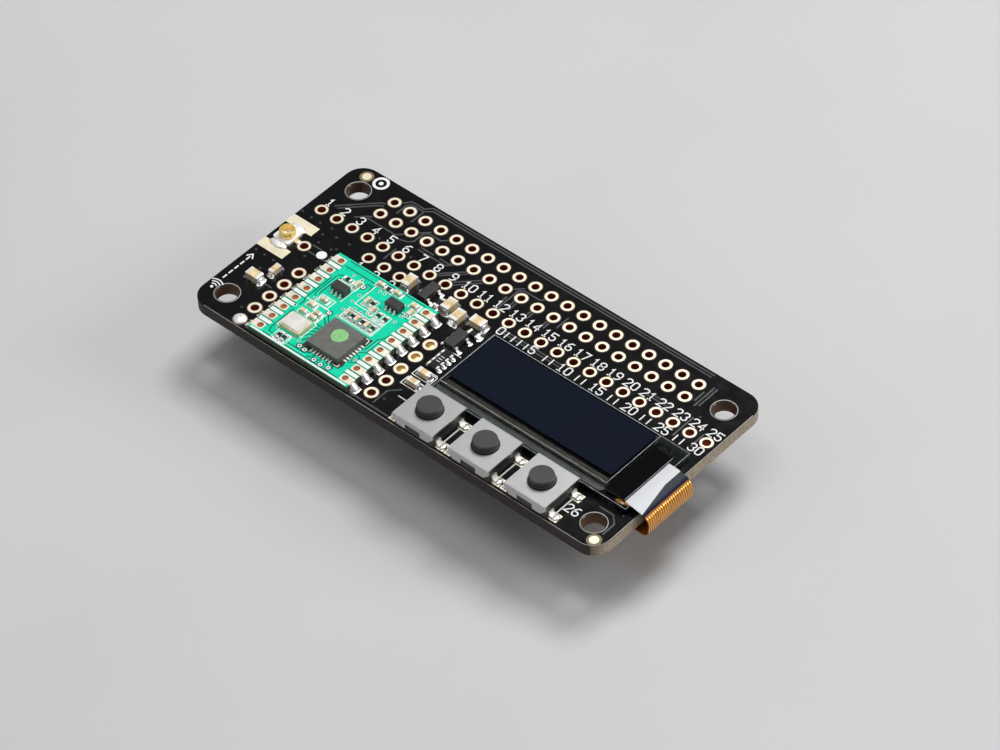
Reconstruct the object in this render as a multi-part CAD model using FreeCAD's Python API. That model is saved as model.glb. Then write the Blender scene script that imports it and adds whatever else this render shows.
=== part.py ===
"""Radio and display add-on board for a small single-board computer.

A 64 x 30 mm circuit board carries a castellated radio module, a miniature coaxial antenna
connector, a 0.91 inch glass display on a flexible tail, three push buttons and a 2 x 20 way
socket underneath that plugs onto the computer's pin header.

Units are millimetres.  The origin is the centre of the four mounting holes on the underside of
the board, +X runs along the board towards the display's flexible tail, +Y runs towards the
pin-header edge and +Z points up out of the component side.
"""
import FreeCAD, Part

import math
import os

from FreeCAD import Vector

# ---------------------------------------------------------------- driving dimensions
BOARD_X = (-32.2, 32.2)             # left and right edges
BOARD_Y = (-14.85, 15.45)           # front and back edges
BOARD_THICK = 1.6
BOARD_CORNER_R = 2.5
MOUNT_SPACING_X = 58.0
MOUNT_SPACING_Y = 23.0
MOUNT_HOLE_R = 1.4                  # clears an M2.5 screw
MOUNT_HOLE_CHAMFER = 0.12

COPPER = 0.05                       # height of plated pads above the laminate
PLATING = 0.05                      # wall of a plated hole
PITCH = 2.54

HEADER_COUNT = 20
HEADER_ROWS_Y = (12.77, 10.23)
HEADER_HOLE_R = 0.51
HEADER_PAD_R = 0.84
BREAKOUT_COUNT = 25
BREAKOUT_START = (-30.14, 6.18)
HOLE_R = 0.55
HOLE_PAD_R = 0.83
COLUMN_PAD_R = 0.88
TRIO_START = (-19.98, 3.65)         # three holes in a line in front of the breakout row
ANTENNA_HOLE = (-27.4, 0.2)
LEFT_COLUMN_START = (-24.68, -3.59)
LEFT_COLUMN_COUNT = 5
RIGHT_COLUMN_START = (-4.4, -2.47)
RIGHT_COLUMN_COUNT = 5
FIDUCIALS = ((-29.9, 14.0), (30.75, -13.5))
FIDUCIAL_R = 0.6

SOCKET_HEIGHT = 8.5
SOCKET_WIDTH = 5.0
SOCKET_LENGTH = 51.3
SOCKET_STANDOFF = 0.2
SOCKET_CAVITY = 1.2
SOCKET_CORNER_R = 0.25
CONTACT_THICK = SOCKET_STANDOFF - COPPER
CONTACT_WIDTH = 0.6
CONTACT_BOTTOM = -6.5
CONTACT_BRIDGE_BOTTOM = -3.2
FOOT_WIDTH = 0.5
FOOT_REACH = 2.28                   # from the row to the end of a contact's foot
FOOT_LAND_WIDTH = 1.0
FOOT_LAND_SPAN = (1.1, 2.35)        # start and end of its land, from the row

MODULE_CENTRE = (-14.6, -6.5)
MODULE_SIZE = 16.0
MODULE_THICK = 0.9
MODULE_PADS = 8
MODULE_PITCH = 2.0
MODULE_HOLE_INSET = 1.12
MODULE_HOLE_R = 0.42
MODULE_PAD_LENGTH = 1.72
MODULE_PAD_WIDTH = 1.1
MODULE_PAD_CORNER_R = 0.3
MODULE_SKIRT_WIDTH = 0.9
MODULE_LAND_LENGTH = 2.0
MODULE_JOINT = (0.9, 0.95, 0.8)     # reach, width and height of an edge joint
CHIP_CENTRE = (-12.4, -9.95)
CHIP_SIZE = 5.0
CHIP_HEIGHT = 0.85
CHIP_CORNER_R = 0.08
CHIP_PINS_PER_SIDE = 7
CHIP_PIN_PITCH = 0.5
CHIP_PIN_WIDTH = 0.26
CHIP_PIN_SPAN = (2.1, 3.0)          # start and end of a pin, from the chip's centre
CRYSTAL_CENTRE = (-18.1, -10.9)
CRYSTAL_SIZE = (3.2, 2.5)
CRYSTAL_BASE_HEIGHT = 0.55
CRYSTAL_HEIGHT = 0.7
CRYSTAL_RIM = 0.175
SWITCH_CENTRES = ((-17.95, -3.3), (-11.1, -1.25))
SWITCH_SIZE = (1.25, 2.1, 0.95)
SWITCH_LEADS = ((-0.65, 0, 0.65), (-0.65, 0, 0.65))

# length, width and height of the chip parts
SIZE_0805 = (2.0, 1.25, 1.0)
SIZE_0603 = (1.6, 0.8, 0.8)
SIZE_0603_FLAT = (1.6, 0.8, 0.45)
SIZE_0402 = (1.0, 0.5, 0.5)
SIZE_0402_FLAT = (1.0, 0.5, 0.32)
CHIP_END_SHARE = 0.22               # of a chip part's length, for each metal end
CHIP_END_STEP = 0.02                # how far the ends stand proud of the body
FILLET_RISE_SHARE = 0.7             # of a chip part's height, for its solder
CAPACITOR_FILLET_REACH = 0.4
RESISTOR_FILLET_REACH = 0.3

# place, size and quarter turns of each ceramic capacitor on the board
CAPACITORS = (
    (-13.1, 3.45, SIZE_0805, 1),
    (-6.7, 3.5, SIZE_0805, 1),
    (-4.7, 2.75, SIZE_0805, 1),
    (-2.15, 3.55, SIZE_0805, 0),
    (-28.15, -7.6, SIZE_0805, 0),
    (-27.0, -5.25, SIZE_0603, 1),
    (-1.45, -6.65, SIZE_0603, 0),
    (-1.5, -8.55, SIZE_0603, 0),
)

# place and quarter turns of each flat chip resistor on the board
RESISTORS = (
    (-8.1, 3.25, 1),
    (-1.45, 2.0, 0),
)

# place and quarter turns of the small capacitors and coils on the module
MODULE_CAPACITORS = (
    (-17.1, -1.35, 1), (-18.35, -5.7, 0), (-19.0, -7.2, 0), (-17.4, -7.9, 0), (-17.4, -8.75, 0),
    (-14.75, -5.6, 1), (-13.15, -5.6, 1), (-14.3, -2.55, 1), (-12.75, -3.35, 1), (-9.35, 0.35, 0),
    (-11.55, -5.6, 1), (-19.0, -8.65, 0), (-14.9, 0.55, 0), (-12.4, 0.7, 0), (-9.0, -0.8, 1),
)
MODULE_COILS = (
    (-18.55, -1.35, 0), (-13.95, -5.6, 1), (-12.35, -5.6, 1), (-13.5, -2.55, 1), (-10.55, -3.6, 1),
    (-18.5, -13.35, 1), (-17.75, -13.35, 1), (-11.6, -3.6, 1), (-13.65, 0.55, 0), (-10.7, -5.6, 1),
)

ARRAY_CENTRE = (-1.55, -3.75)
ARRAY_SIZE = (1.1, 3.2, 0.5)
ARRAY_WAYS = 4
ARRAY_PITCH = 0.8
ARRAY_END = (0.25, 0.5)
TRANSISTOR_CENTRE = (-10.1, 3.6)
TRANSISTOR_SIZE = (1.3, 2.9, 1.0)
TRANSISTOR_LEADS = ((-0.95, 0.95), (0,))
REGULATOR_CENTRE = (-2.15, -0.3)
REGULATOR_SIZE = (1.5, 2.9, 1.1)
REGULATOR_LEADS = ((-0.95, 0.95), (-0.95, 0, 0.95))
GULL_THICK = 0.15
GULL_REACH = 0.5
GULL_KNEE_SHARE = 0.45
GULL_WIDE = 0.38
GULL_NARROW = 0.22
PACKAGE_GAP = 0.08                  # air under a moulded package

ANTENNA_CENTRE = (-30.1, 0.2)
ANTENNA_SHELL_R = 1.0
ANTENNA_HEIGHT = 1.25
ANTENNA_LAND_X = (-32.2, -27.95)
ANTENNA_LANDS_Y = ((1.95, 3.55), (-3.15, -1.55))
ANTENNA_BASE_SIZE = 2.6
ANTENNA_BASE_HEIGHT = 0.35
ANTENNA_BORE_R = 0.78
ANTENNA_GROOVE = (0.75, 0.85, 0.95, 0.07)   # start, middle, end and depth of the shell's groove
ANTENNA_PIN_R = 0.15
ANTENNA_PIN_HEIGHT = 0.95
ANTENNA_FOOT = (1.9, 0.8, 0.18)
ANTENNA_FOOT_Y = 1.7
ANTENNA_TAIL = (0.6, 0.7, 0.15)
ANTENNA_TAIL_X = 1.6

BUTTON_X = (4.15, 12.8, 21.45)
BUTTON_Y = -11.75
COVER_SIZE = 6.2
COVER_TOP = 2.1                     # above the board's top face
COVER_SKIRT = 0.7                   # height of the cover's lower edge above the board
COVER_EDGE_R = 0.18
COVER_NOTCH = (2.3, 1.45)           # width and top of the notch in its front and back
COVER_SHOULDER = 0.75
SHEET = 0.2
BUTTON_SEAT = 0.7
BUTTON_WELL_R = 2.25
LEAD_OFFSET = 1.98
LEAD_WIDTH = 0.8
LEAD_REACH = 1.1
BUTTON_LAND = 1.3
BUTTON_LAND_X = 3.6
BUTTON_TRAVEL = 0.25
DOME_R = 2.05
DOME_RISE = BUTTON_TRAVEL + 0.17
DOME_THICK = 0.08
PLUNGER_R = 1.5
PLUNGER_TOP = 3.1
PLUNGER_NUB_R = 0.6
PLUNGER_FLANGE_R = 2.0
PLUNGER_FLANGE_BOTTOM = 1.35
PLUNGER_GROOVE = (2.5, 2.6, 0.06)   # start, end and depth of the groove above the cover
PLUNGER_GAP = 0.05

GLASS_X = (0.9, 31.0)
GLASS_Y = (-8.33, 3.05)
FOAM_THICK = 0.4
GLASS_THICK = 0.55
CAP_X = (1.4, 27.05)
CAP_Y = (-7.05, 2.6)
CAP_THICK = 0.6
POLARIZER_X = (1.8, 26.75)
POLARIZER_Y = (-5.85, 2.15)
POLARIZER_THICK = 0.2
RESIN_X = (27.15, 30.25)
RESIN_Y = (-7.6, 1.1)
RESIN_THICK = 0.35
DIE_X = (28.1, 29.3)
DIE_Y = (-6.9, 0.3)
DIE_THICK = 0.2
FLEX_Y = (-7.6, 0.2)
FLEX_THICK = 0.12
FLEX_JOINTS = 14
FLEX_JOINT_PITCH = 0.52
FLEX_LAND = (26.0, 28.2, 0.34)      # start, end and width of a tail land
FLEX_END_X = 26.0
FLEX_RADII = (3.0, 1.35, 1.0, 3.0, 3.0)

TOP = BOARD_THICK
MODULE_BOTTOM = TOP + COPPER
MODULE_TOP = MODULE_BOTTOM + MODULE_THICK
UP = Vector(0, 0, 1)


# ---------------------------------------------------------------- helpers
def box(x0, x1, y0, y1, z0, z1):
    """Block between two opposite corners."""
    return Part.makeBox(x1 - x0, y1 - y0, z1 - z0, Vector(x0, y0, z0))


def block(x, y, size_x, size_y, z0, z1):
    """Block centred on x, y."""
    return box(x - size_x / 2, x + size_x / 2, y - size_y / 2, y + size_y / 2, z0, z1)


def disc(x, y, radius, z0, z1):
    """Upright cylinder."""
    return Part.makeCylinder(radius, z1 - z0, Vector(x, y, z0), UP)


def soften(shape, radius, chosen=None):
    """Round the edges of a shape that the test picks, or all of them."""
    edges = [edge for edge in shape.Edges if chosen is None or chosen(edge)]
    return shape.makeFillet(radius, edges)


def is_upright(edge):
    """True for a straight edge along Z."""
    low, high = edge.BoundBox.ZMin, edge.BoundBox.ZMax
    return high - low > 1e-6 and edge.BoundBox.XLength < 1e-6 and edge.BoundBox.YLength < 1e-6


def turned(profile, x, y):
    """Solid of revolution about the vertical through x, y from (radius, height) points."""
    points = [Vector(x + radius, y, height) for radius, height in profile]
    face = Part.Face(Part.makePolygon(points + points[:1]))
    return face.revolve(Vector(x, y, 0), UP, 360)


def prism(outline, base, along):
    """Straight extrusion of a closed outline of 3-D points."""
    points = [base + point for point in outline]
    return Part.Face(Part.makePolygon(points + points[:1])).extrude(along)


def plated_hole(x, y, hole_r, pad_r):
    """Barrel through the board with a copper ring on each face."""
    wall_r = hole_r + PLATING
    profile = [(hole_r, -COPPER), (pad_r, -COPPER), (pad_r, 0), (wall_r, 0),
               (wall_r, TOP), (pad_r, TOP), (pad_r, TOP + COPPER), (hole_r, TOP + COPPER)]
    return turned(profile, x, y)


def quarter_turned(shape, x, y, turns):
    """Shape turned about the vertical through x, y by a number of quarter turns."""
    return shape.rotated(Vector(x, y, 0), UP, 90 * turns)


def wedge(x, y, z, reach, width, height, turns):
    """Solder fillet: hollow-faced wedge that climbs a wall at x, y and runs out along +X."""
    foot = Vector(x, y - width / 2, z)
    wall_top = foot + Vector(0, 0, height)
    toe = foot + Vector(reach, 0, 0)
    chord = toe - wall_top
    sag = chord.Length / 2 * math.tan(0.4 * math.atan(min(reach, height) / max(reach, height)))
    inward = Vector(-height, 0, -reach).normalize()
    middle = (wall_top + toe) / 2 + inward * sag
    edges = [Part.Arc(wall_top, middle, toe).toShape(), Part.makeLine(toe, foot),
             Part.makeLine(foot, wall_top)]
    solid = Part.Face(Part.Wire(edges)).extrude(Vector(0, width, 0))
    return quarter_turned(solid, x, y, turns)


def write(node, solids):
    """Check every solid of a node and write them to its STEP file."""
    loose = [solid for shape in solids for solid in shape.Solids]
    for solid in loose:
        if not solid.isValid() or not solid.isClosed() or solid.Volume <= 0:
            raise ValueError("bad solid in " + node)
    shape = loose[0] if len(loose) == 1 else Part.makeCompound(loose)
    shape.exportStep("parts/" + node + ".step")
    print(node, len(loose), round(shape.Volume, 4))


# ---------------------------------------------------------------- hole positions
def mounting_centres():
    """Centres of the four mounting holes."""
    half_x, half_y = MOUNT_SPACING_X / 2, MOUNT_SPACING_Y / 2
    return [(sx * half_x, sy * half_y) for sx in (-1, 1) for sy in (-1, 1)]


def header_xs():
    """Column positions of the 2 x 20 header."""
    return [(i - (HEADER_COUNT - 1) / 2) * PITCH for i in range(HEADER_COUNT)]


def header_centres():
    """Centres of the forty header holes."""
    return [(x, y) for y in HEADER_ROWS_Y for x in header_xs()]


def breakout_centres():
    """Centres of the breakout row, the three loose holes and the antenna hole."""
    row = [(BREAKOUT_START[0] + PITCH * i, BREAKOUT_START[1]) for i in range(BREAKOUT_COUNT)]
    trio = [(TRIO_START[0] + PITCH * i, TRIO_START[1]) for i in range(3)]
    return row + trio + [ANTENNA_HOLE]


def column_centres():
    """Centres of the holes down both sides of the radio module."""
    left = [(LEFT_COLUMN_START[0], LEFT_COLUMN_START[1] - PITCH * i) for i in range(LEFT_COLUMN_COUNT)]
    right = [(RIGHT_COLUMN_START[0], RIGHT_COLUMN_START[1] - PITCH * i)
             for i in range(RIGHT_COLUMN_COUNT)]
    return left + right


# ---------------------------------------------------------------- bare board
def board_laminate():
    """Rounded board with every hole drilled."""
    slab = soften(box(*BOARD_X, *BOARD_Y, 0, TOP), BOARD_CORNER_R, is_upright)
    cutters = []
    for x, y in mounting_centres():
        rim = MOUNT_HOLE_R + MOUNT_HOLE_CHAMFER
        profile = [(0, -1), (MOUNT_HOLE_R, -1), (MOUNT_HOLE_R, TOP - MOUNT_HOLE_CHAMFER), (rim, TOP),
                   (rim, TOP + 1), (0, TOP + 1)]
        cutters.append(turned(profile, x, y))
    for x, y in header_centres():
        cutters.append(disc(x, y, HEADER_HOLE_R + PLATING, -1, TOP + 1))
    for x, y in breakout_centres() + column_centres():
        cutters.append(disc(x, y, HOLE_R + PLATING, -1, TOP + 1))
    return slab.cut(Part.makeCompound(cutters))


def component_lands():
    """Copper lands on the top face under the soldered parts, clear of one another."""
    lands = []
    for y0, y1 in ANTENNA_LANDS_Y:
        lands.append(box(*ANTENNA_LAND_X, y0, y1, TOP, TOP + COPPER))
        lands.append(box(*ANTENNA_LAND_X, y0, y1, -COPPER, 0))
    half = MODULE_SIZE / 2
    for side in (-1, 1):
        for y in module_pad_ys():
            lands.append(block(MODULE_CENTRE[0] + side * half, y, MODULE_LAND_LENGTH,
                               MODULE_PAD_WIDTH, TOP, TOP + COPPER))
    for x in BUTTON_X:
        for sx in (-1, 1):
            for sy in (-1, 1):
                lands.append(block(x + sx * BUTTON_LAND_X, BUTTON_Y + sy * LEAD_OFFSET,
                                   BUTTON_LAND, BUTTON_LAND, TOP, TOP + COPPER))
    return lands


# ---------------------------------------------------------------- socket under the board
def contact(x, y, outward):
    """One socket contact: a three-sided spring in its cavity and a foot on the underside."""
    half = SOCKET_CAVITY / 2
    blade = half - CONTACT_THICK
    top = -COPPER
    floor = top - CONTACT_THICK
    edge_y = y + outward * FOOT_REACH
    half_foot, half_blade = FOOT_WIDTH / 2, CONTACT_WIDTH / 2
    foot = box(x - half_foot, x + half_foot, min(y + outward * blade, edge_y),
               max(y + outward * blade, edge_y), floor, top)
    outer = box(x - half_blade, x + half_blade, min(y + outward * blade, y + outward * half),
                max(y + outward * blade, y + outward * half), CONTACT_BOTTOM, floor)
    inner = box(x - half_blade, x + half_blade, min(y - outward * blade, y - outward * half),
                max(y - outward * blade, y - outward * half), CONTACT_BOTTOM, floor)
    bridge = box(x - half, x - half + CONTACT_THICK, y - half, y + half, CONTACT_BRIDGE_BOTTOM, floor)
    links = box(x - half, x - half_blade, y - half, y + half, CONTACT_BRIDGE_BOTTOM, floor)
    links = links.cut(box(x - half, x - half_blade, y - blade, y + blade, CONTACT_BRIDGE_BOTTOM - 1, 0))
    return foot.fuse([outer, inner, bridge, links]).removeSplitter()


def header_socket():
    """Moulded body with forty open cavities, and its contacts."""
    top = -SOCKET_STANDOFF
    centre_y = sum(HEADER_ROWS_Y) / 2
    body = block(0, centre_y, SOCKET_LENGTH, SOCKET_WIDTH, -SOCKET_HEIGHT, top)
    body = soften(body, SOCKET_CORNER_R, is_upright)
    half = SOCKET_CAVITY / 2
    cavities = [box(x - half, x + half, y - half, y + half, -SOCKET_HEIGHT - 1, top + 1)
                for x, y in header_centres()]
    body = body.cut(Part.makeCompound(cavities))
    contacts = [contact(x, y, 1 if y > centre_y else -1) for x, y in header_centres()]
    return body, contacts


def underside_lands():
    """Lands for the socket feet and the display tail on the underside."""
    centre_y = sum(HEADER_ROWS_Y) / 2
    lands = []
    for x in header_xs():
        for side in (-1, 1):
            row_y = centre_y + side * PITCH / 2
            near, far = row_y + side * FOOT_LAND_SPAN[0], row_y + side * FOOT_LAND_SPAN[1]
            lands.append(box(x - FOOT_LAND_WIDTH / 2, x + FOOT_LAND_WIDTH / 2, min(near, far),
                             max(near, far), -COPPER, 0))
    start, end, width = FLEX_LAND
    for y in flex_joint_ys():
        lands.append(box(start, end, y - width / 2, y + width / 2, -COPPER, 0))
    return lands


# ---------------------------------------------------------------- radio module
def module_pad_ys():
    """Y of each edge pad of the radio module."""
    middle = (MODULE_PADS - 1) / 2
    return [MODULE_CENTRE[1] + (middle - i) * MODULE_PITCH for i in range(MODULE_PADS)]


def module_hole_centres():
    """Centres of the plated holes behind the module's edge pads."""
    inset = MODULE_SIZE / 2 - MODULE_HOLE_INSET
    return [(MODULE_CENTRE[0] + side * inset, y) for side in (-1, 1) for y in module_pad_ys()]


def radio_module_board():
    """Square module board with its edge-pad holes."""
    slab = block(*MODULE_CENTRE, MODULE_SIZE, MODULE_SIZE, MODULE_BOTTOM, MODULE_TOP)
    wall_r = MODULE_HOLE_R + PLATING
    holes = [disc(x, y, wall_r, MODULE_BOTTOM - 1, MODULE_TOP + 1) for x, y in module_hole_centres()]
    return slab.cut(Part.makeCompound(holes))


def radio_module_pads():
    """Edge pads: a plate on the module's face, its hole's lining and the plated edge."""
    pads = []
    half = MODULE_SIZE / 2
    for x, y in module_hole_centres():
        side = 1 if x > MODULE_CENTRE[0] else -1
        edge_x = MODULE_CENTRE[0] + side * half
        outer_x = edge_x + side * COPPER
        inner_x = edge_x - side * MODULE_PAD_LENGTH
        half_pad, half_skirt = MODULE_PAD_WIDTH / 2, MODULE_SKIRT_WIDTH / 2
        plate = box(min(inner_x, outer_x), max(inner_x, outer_x), y - half_pad, y + half_pad,
                    MODULE_TOP, MODULE_TOP + COPPER)
        plate = soften(plate, MODULE_PAD_CORNER_R,
                       lambda e, cut=inner_x: is_upright(e) and abs(e.BoundBox.XMin - cut) < 0.01)
        skirt = box(min(edge_x, outer_x), max(edge_x, outer_x), y - half_skirt, y + half_skirt,
                    MODULE_BOTTOM, MODULE_TOP)
        lining = disc(x, y, MODULE_HOLE_R + PLATING, MODULE_BOTTOM, MODULE_TOP)
        pad = plate.fuse([skirt, lining])
        pad = pad.cut(disc(x, y, MODULE_HOLE_R, MODULE_BOTTOM - 1, MODULE_TOP + 1))
        pads.append(pad.removeSplitter())
    return pads


def radio_module_solder():
    """Fillets from the module's plated edges down to the board's lands."""
    fillets = []
    for side, turns in ((-1, 2), (1, 0)):
        wall_x = MODULE_CENTRE[0] + side * (MODULE_SIZE / 2 + COPPER)
        for y in module_pad_ys():
            fillets.append(wedge(wall_x, y, MODULE_BOTTOM, *MODULE_JOINT, turns))
    return fillets


def radio_chip():
    """Flat no-lead package and its pins, which show along its lower edge."""
    floor = MODULE_TOP + COPPER
    body = block(*CHIP_CENTRE, CHIP_SIZE, CHIP_SIZE, floor, MODULE_TOP + CHIP_HEIGHT)
    body = soften(body, CHIP_CORNER_R, is_upright)
    pins = []
    middle = (CHIP_PINS_PER_SIDE - 1) / 2
    start, end = CHIP_PIN_SPAN
    for turns in range(4):
        for i in range(CHIP_PINS_PER_SIDE):
            pin_y = CHIP_CENTRE[1] + (i - middle) * CHIP_PIN_PITCH
            pin = box(CHIP_CENTRE[0] + start, CHIP_CENTRE[0] + end, pin_y - CHIP_PIN_WIDTH / 2,
                      pin_y + CHIP_PIN_WIDTH / 2, MODULE_TOP, floor)
            pins.append(quarter_turned(pin, *CHIP_CENTRE, turns))
    return body, pins


def crystal():
    """Ceramic crystal package with its metal lid."""
    x, y = CRYSTAL_CENTRE
    rim_z = MODULE_TOP + CRYSTAL_BASE_HEIGHT
    base = block(x, y, *CRYSTAL_SIZE, MODULE_TOP, rim_z)
    base = soften(base, 0.2, is_upright)
    lid = block(x, y, CRYSTAL_SIZE[0] - 2 * CRYSTAL_RIM, CRYSTAL_SIZE[1] - 2 * CRYSTAL_RIM, rim_z,
                MODULE_TOP + CRYSTAL_HEIGHT)
    lid = soften(lid, 0.25, is_upright)
    return base, lid


# ---------------------------------------------------------------- chip parts
def chip_part(x, y, z, size, turns):
    """Two-terminal chip part along X before it is turned: body and two metal ends."""
    length, width, height = size
    inner = length / 2 - length * CHIP_END_SHARE
    half_body = width / 2 - CHIP_END_STEP
    body = box(x - inner, x + inner, y - half_body, y + half_body, z, z + height - CHIP_END_STEP)
    ends = []
    for side in (-1, 1):
        near, far = x + side * inner, x + side * length / 2
        end = box(min(near, far), max(near, far), y - width / 2, y + width / 2, z, z + height)
        ends.append(soften(end, min(0.08, height / 6), lambda e, at=far: abs(e.CenterOfMass.x - at) < 0.001))
    body = quarter_turned(body, x, y, turns)
    ends = [quarter_turned(end, x, y, turns) for end in ends]
    return body, ends


def chip_solder(x, y, z, size, turns, reach):
    """Two fillets at the ends of a chip part."""
    length, width, height = size
    fillets = []
    for half_turn in (0, 2):
        fillet = wedge(x + length / 2, y, z, reach, width + 0.1, height * FILLET_RISE_SHARE, 0)
        fillets.append(quarter_turned(fillet, x, y, half_turn + turns))
    return fillets


def module_chip_parts():
    """Bodies of the module's capacitors and coils, and the metal ends of both."""
    capacitor_bodies, coil_bodies, all_ends = [], [], []
    for places, size, bodies in ((MODULE_CAPACITORS, SIZE_0402, capacitor_bodies),
                                 (MODULE_COILS, SIZE_0402_FLAT, coil_bodies)):
        for x, y, turns in places:
            body, ends = chip_part(x, y, MODULE_TOP, size, turns)
            bodies.append(body)
            all_ends += ends
    return capacitor_bodies, coil_bodies, all_ends


def resistor_array():
    """Four resistors in one flat body with four metal ends on each side."""
    x, y = ARRAY_CENTRE
    size_x, size_y, height = ARRAY_SIZE
    end_x, end_y = ARRAY_END
    body = block(x, y, size_x, size_y, TOP, TOP + height)
    middle = (ARRAY_WAYS - 1) / 2
    ends = []
    for side in (-1, 1):
        for i in range(ARRAY_WAYS):
            ends.append(block(x + side * (size_x + end_x) / 2, y + (i - middle) * ARRAY_PITCH,
                              end_x, end_y, TOP, TOP + height))
    return body, ends


def gull_lead(x, y, z, reach, width, rise, turns, about):
    """Lead that leaves a package at height z + rise, steps down and runs out flat along +X."""
    thick = GULL_THICK
    knee = reach * GULL_KNEE_SHARE
    outline = [Vector(0, 0, rise), Vector(knee, 0, rise), Vector(knee, 0, thick), Vector(reach, 0, thick),
               Vector(reach, 0, 0), Vector(knee - thick, 0, 0), Vector(knee - thick, 0, rise - thick),
               Vector(0, 0, rise - thick)]
    lead = prism(outline, Vector(x, y - width / 2, z), Vector(0, width, 0))
    return quarter_turned(lead, *about, turns)


def small_package(x, y, z, size, lead_ys, lead_width, turns):
    """Moulded package with gull leads at the given offsets on its +X and -X sides."""
    size_x, size_y, height = size
    waist = z + height * 0.5
    body = block(x, y, size_x, size_y, z + PACKAGE_GAP, z + height)
    body = soften(body, 0.07, lambda e: e.BoundBox.ZMin > waist)
    body = quarter_turned(body, x, y, turns)
    leads = []
    for half_turn, offsets in zip((0, 2), lead_ys):
        for offset in offsets:
            leads.append(gull_lead(x + size_x / 2, y + offset, z, GULL_REACH, lead_width,
                                   height * 0.5, half_turn + turns, (x, y)))
    return body, leads


# ---------------------------------------------------------------- antenna connector
def antenna_connector():
    """Miniature coaxial connector: moulded base, metal shell with feet, centre pin."""
    x, y = ANTENNA_CENTRE
    floor = TOP + COPPER
    seat = floor + ANTENNA_BASE_HEIGHT
    base = block(x, y, ANTENNA_BASE_SIZE, ANTENNA_BASE_SIZE, floor, seat)
    base = soften(base, 0.2, is_upright)
    base = base.cut(disc(x, y, ANTENNA_PIN_R, floor - 1, floor + 1))
    start, middle, end, depth = ANTENNA_GROOVE
    rim = TOP + ANTENNA_HEIGHT
    lead_in = 0.06
    shell = turned([(ANTENNA_BORE_R, seat), (ANTENNA_SHELL_R, seat), (ANTENNA_SHELL_R, floor + start),
                    (ANTENNA_SHELL_R - depth, floor + middle), (ANTENNA_SHELL_R, floor + end),
                    (ANTENNA_SHELL_R, rim - lead_in), (ANTENNA_SHELL_R - lead_in, rim),
                    (ANTENNA_BORE_R, rim)], x, y)
    feet = []
    for side in (-1, 1):
        foot_y = y + side * ANTENNA_FOOT_Y
        feet.append(block(x, foot_y, ANTENNA_FOOT[0], ANTENNA_FOOT[1], floor, floor + ANTENNA_FOOT[2]))
    tip = floor + ANTENNA_PIN_HEIGHT
    pin = turned([(0, floor), (ANTENNA_PIN_R, floor), (ANTENNA_PIN_R, tip - 0.1), (0.08, tip), (0, tip)],
                 x, y)
    tail = block(x + ANTENNA_TAIL_X, y, ANTENNA_TAIL[0], ANTENNA_TAIL[1], floor, floor + ANTENNA_TAIL[2])
    return base, [shell] + feet, [pin, tail]


# ---------------------------------------------------------------- display
def tangent_path(points, radii):
    """Wire in the XZ plane of straight runs joined by tangent arcs."""
    edges = []
    start = points[0]
    for corner, following, radius in zip(points[1:-1], points[2:], radii):
        into = (corner - start).normalize()
        out = (following - corner).normalize()
        turn = into.getAngle(out)
        setback = radius * math.tan(turn / 2)
        first = corner - into * setback
        last = corner + out * setback
        bisector = (out - into).normalize()
        middle = corner + bisector * (radius / math.cos(turn / 2) - radius)
        edges.append(Part.makeLine(start, first))
        edges.append(Part.Arc(first, middle, last).toShape())
        start = last
    edges.append(Part.makeLine(start, points[-1]))
    return Part.Wire(edges)


def flex_joint_ys():
    """Y of each soldered finger of the display's tail."""
    middle = sum(FLEX_Y) / 2
    return [middle + (i - (FLEX_JOINTS - 1) / 2) * FLEX_JOINT_PITCH for i in range(FLEX_JOINTS)]


def display_flex():
    """Flexible tail: bonded to the glass, bent round the board's edge and soldered underneath."""
    glass_top = TOP + FOAM_THICK + GLASS_THICK
    start = glass_top + FLEX_THICK / 2
    under = -COPPER - FLEX_THICK / 2
    width = FLEX_Y[1] - FLEX_Y[0]
    route = ((RESIN_X[1], start), (GLASS_X[1] + 0.3, start), (33.85, start - 0.55), (33.6, -1.05),
             (30.6, -0.75), (28.9, under), (FLEX_END_X, under))
    points = [Vector(x, FLEX_Y[0], z) for x, z in route]
    path = tangent_path(points, FLEX_RADII)
    half = FLEX_THICK / 2
    corners = [Vector(RESIN_X[1], FLEX_Y[0], start - half), Vector(RESIN_X[1], FLEX_Y[1], start - half),
               Vector(RESIN_X[1], FLEX_Y[1], start + half), Vector(RESIN_X[1], FLEX_Y[0], start + half)]
    section = Part.Wire(Part.makePolygon(corners + corners[:1]))
    flex = path.makePipeShell([section], True, False)
    print("flex width", round(width, 3), "centreline", round(path.Length, 3))
    return flex


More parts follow.
